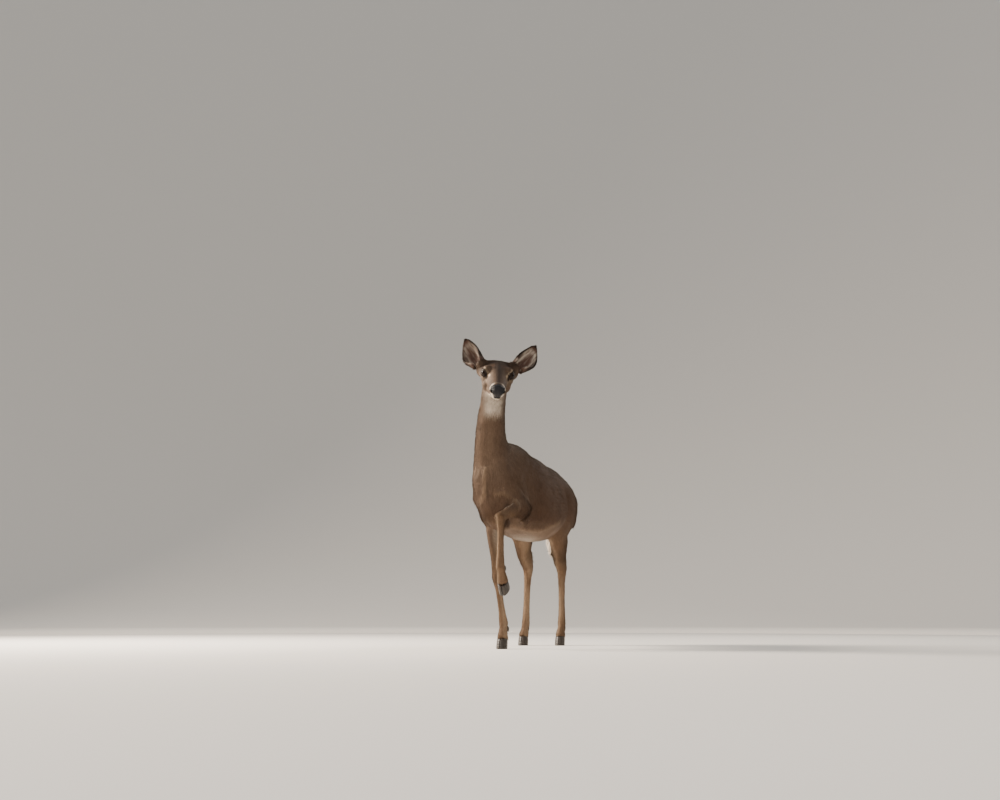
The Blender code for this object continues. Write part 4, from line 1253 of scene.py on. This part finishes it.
def whiskers(skin, dice):
    """Thin stiff hairs on the lips and chin."""
    aside, back, up = in_head(skin.points).T
    lips = near(up, -0.020, 0.012) * near(back, 0.035, 0.020) * rise(np.abs(aside), 0.010, 0.018)
    lips += near(up, -0.032, 0.006) * near(back, 0.020, 0.014)
    chance = lips * (1 - nose_leather(skin.points)) * rise(skin.belongs_to("head"), 0.5, 0.9)
    picked = dice.choice(len(chance), WHISKERS, replace=False, p=chance / chance.sum())
    roots, out = skin.points[picked], skin.facing[picked]
    backwards = HEAD_AXES @ (0, 0.6, -0.25)
    way = unit(out * 0.8 + backwards + dice.normal(0, 0.18, (WHISKERS, 3)))
    above = unit(np.cross(way, np.cross(out, way)))
    spots = np.stack([0.05 + 0.9 * np.arange(WHISKERS) / WHISKERS, np.full(WHISKERS, 0.5)], axis=1)
    return mesh_piece("whiskers", *tufts(
        roots, way, above, dice.uniform(*WHISKER_LENGTHS, WHISKERS), np.full(WHISKERS, WHISKER_WIDTH),
        np.full(WHISKERS, WHISKER_LIFT), np.tile(FACE, (WHISKERS, 1)), spots, dice))


# ---- horn ------------------------------------------------------------------------------------
HOOF_VOXEL, DEWCLAW_VOXEL = 0.0014, 0.0009
RING_WAVES, RING_HEIGHT = 26, 0.00022            # the growth rings, in radians from sole to top


def horn_piece(name, material):
    """A hoof or dewclaw with its edges worn round and faint rings of growth."""
    body = bmesh.new()
    body.from_mesh(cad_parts[name].data)
    bmesh.ops.remove_doubles(body, verts=body.verts, dist=1e-6)
    made = built(body, f"{name}_horn")
    remesh = made.modifiers.new("Remesh", "REMESH")
    remesh.mode = "VOXEL"
    remesh.voxel_size = DEWCLAW_VOXEL if name.startswith("dewclaw") else HOOF_VOXEL
    apply_modifiers(made)
    surface = Surface(made)
    surface.relax(5)
    low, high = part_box(name)
    down = (surface.points[:, 2] - low.z) / (high.z - low.z)
    rings = np.sin(down * RING_WAVES + 1.5 * mottle(surface.points, 0.02, 5)) * RING_HEIGHT
    surface.points += surface.normals() * (rings * rise(down, 0.10, 0.25))[:, None]
    surface.store()
    return settled(made, material)


# ---- studio ----------------------------------------------------------------------------------
# The floor is flat to this radius, and then curves up to its rim like a bowl.
FLAT_FLOOR, BOWL, BOWL_HEIGHT, BOWL_RINGS, BOWL_SIDES = 5.0, 16.0, 12.5, 16, 96
FLOOR_TONE = (0.72, 0.70, 0.67, 1)
SKY_TONE, SKY_STRENGTH = (0.98, 0.97, 0.95, 1), 0.62
LIT_POINT = Vector((0, 0, 0.75))             # the middle of the doe, at which every lamp points
# Each lamp: its place from that point, its width, its watts and its tone.
LAMPS = {
    "key": ((-3.7, -0.5, 2.0), 1.7, 780, (1.0, 0.87, 0.73)),
    "fill": ((1.6, -4.4, 1.6), 2.6, 50, (1.0, 0.94, 0.88)),
    "rim": ((1.8, 3.6, 2.4), 1.8, 70, (1.0, 0.93, 0.84)),
}
CAMERA_PLACE, CAMERA_LENS, SENSOR_WIDTH = (1.4541, -4.6986, 0.120), 41.22, 36.0
CAMERA_RISE, CAMERA_TURN = math.radians(10.8), math.radians(18.125)


def studio():
    """A pale floor that curves up into a backdrop, with a warm key from the doe's right."""
    body = bmesh.new()
    rings = []
    turns = [2 * math.pi * k / BOWL_SIDES for k in range(BOWL_SIDES)]
    for step in range(BOWL_RINGS + 1):
        share = step / BOWL_RINGS
        radius, height = FLAT_FLOOR + (BOWL - FLAT_FLOOR) * share, BOWL_HEIGHT * share ** 2
        rings.append([body.verts.new((radius * math.cos(turn), radius * math.sin(turn), height))
                      for turn in turns])
    body.faces.new(rings[0])
    for lower, upper in zip(rings, rings[1:]):
        for k in range(BOWL_SIDES):
            body.faces.new((lower[k - 1], lower[k], upper[k], upper[k - 1]))
    for face in body.faces:
        face.smooth = len(face.verts) == 4
    floor = built(body, "floor")
    pale = new_material("pale_floor", 0.9, Specular_IOR_Level=0.2, Base_Color=FLOOR_TONE)[0]
    floor.data.materials.append(pale)
    world = bpy.data.worlds.new("studio")
    bpy.context.scene.world = world
    world.use_nodes = True
    sky = world.node_tree.nodes["Background"]
    sky.inputs["Color"].default_value = SKY_TONE
    sky.inputs["Strength"].default_value = SKY_STRENGTH
    for name, (offset, size, power, colour) in LAMPS.items():
        lamp(name, LIT_POINT + Vector(offset), size, power, colour)


def lamp(name, place, size, power, colour):
    light = bpy.data.lights.new(name, "AREA")
    light.shape, light.size, light.energy, light.color = "DISK", size, power, colour
    made = bpy.data.objects.new(name, light)
    made.location = place
    made.rotation_mode = "QUATERNION"
    made.rotation_quaternion = (LIT_POINT - place).to_track_quat("-Z", "Y")
    bpy.context.scene.collection.objects.link(made)


def camera():
    """Low, five metres in front of the doe and a little to its left, looking slightly up."""
    lens = bpy.data.cameras.new("camera")
    lens.lens, lens.sensor_width = CAMERA_LENS, SENSOR_WIDTH
    made = bpy.data.objects.new("camera", lens)
    made.location = CAMERA_PLACE
    made.rotation_euler = (math.pi / 2 + CAMERA_RISE, 0, CAMERA_TURN)
    bpy.context.scene.collection.objects.link(made)
    bpy.context.scene.camera = made


# ---- the doe ---------------------------------------------------------------------------------
def joined_in(piece, slot, *nodes):
    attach(piece, "root")
    if nodes:
        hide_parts(*nodes)


def main():
    grain = grain_group()
    hide, coat = skin_material(grain), coat_material(grain)
    skin = doe_skin()
    paint(skin.made.data, skin.colours)
    bare_leather(skin.made, nose_leather(skin.points))
    settled(skin.made, hide)
    joined_in(skin.made, "coat", *FLESH)
    for piece in grow_coat(skin):
        piece.data.materials.append(coat)
        joined_in(piece, "pale_coat" if piece.name == "coat_tail" else "coat")
    wet, horn = wet_eye_material(), horn_material()
    dice = np.random.default_rng(FINE_SEED)
    fine = [whiskers(skin, dice)]
    for side in SIDES:
        joined_in(eyeball(side, wet), "eye", f"eye_{side}")
        joined_in(lids(side, hide), "coat")
        fine.append(lashes(side, dice))
    for piece in fine:
        piece.data.materials.append(coat)
        joined_in(piece, "coat")
    for name in sorted(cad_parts):
        if name.startswith(("hoof", "dewclaw")):
            joined_in(horn_piece(name, horn), "horn", name)
    studio()
    camera()


main()
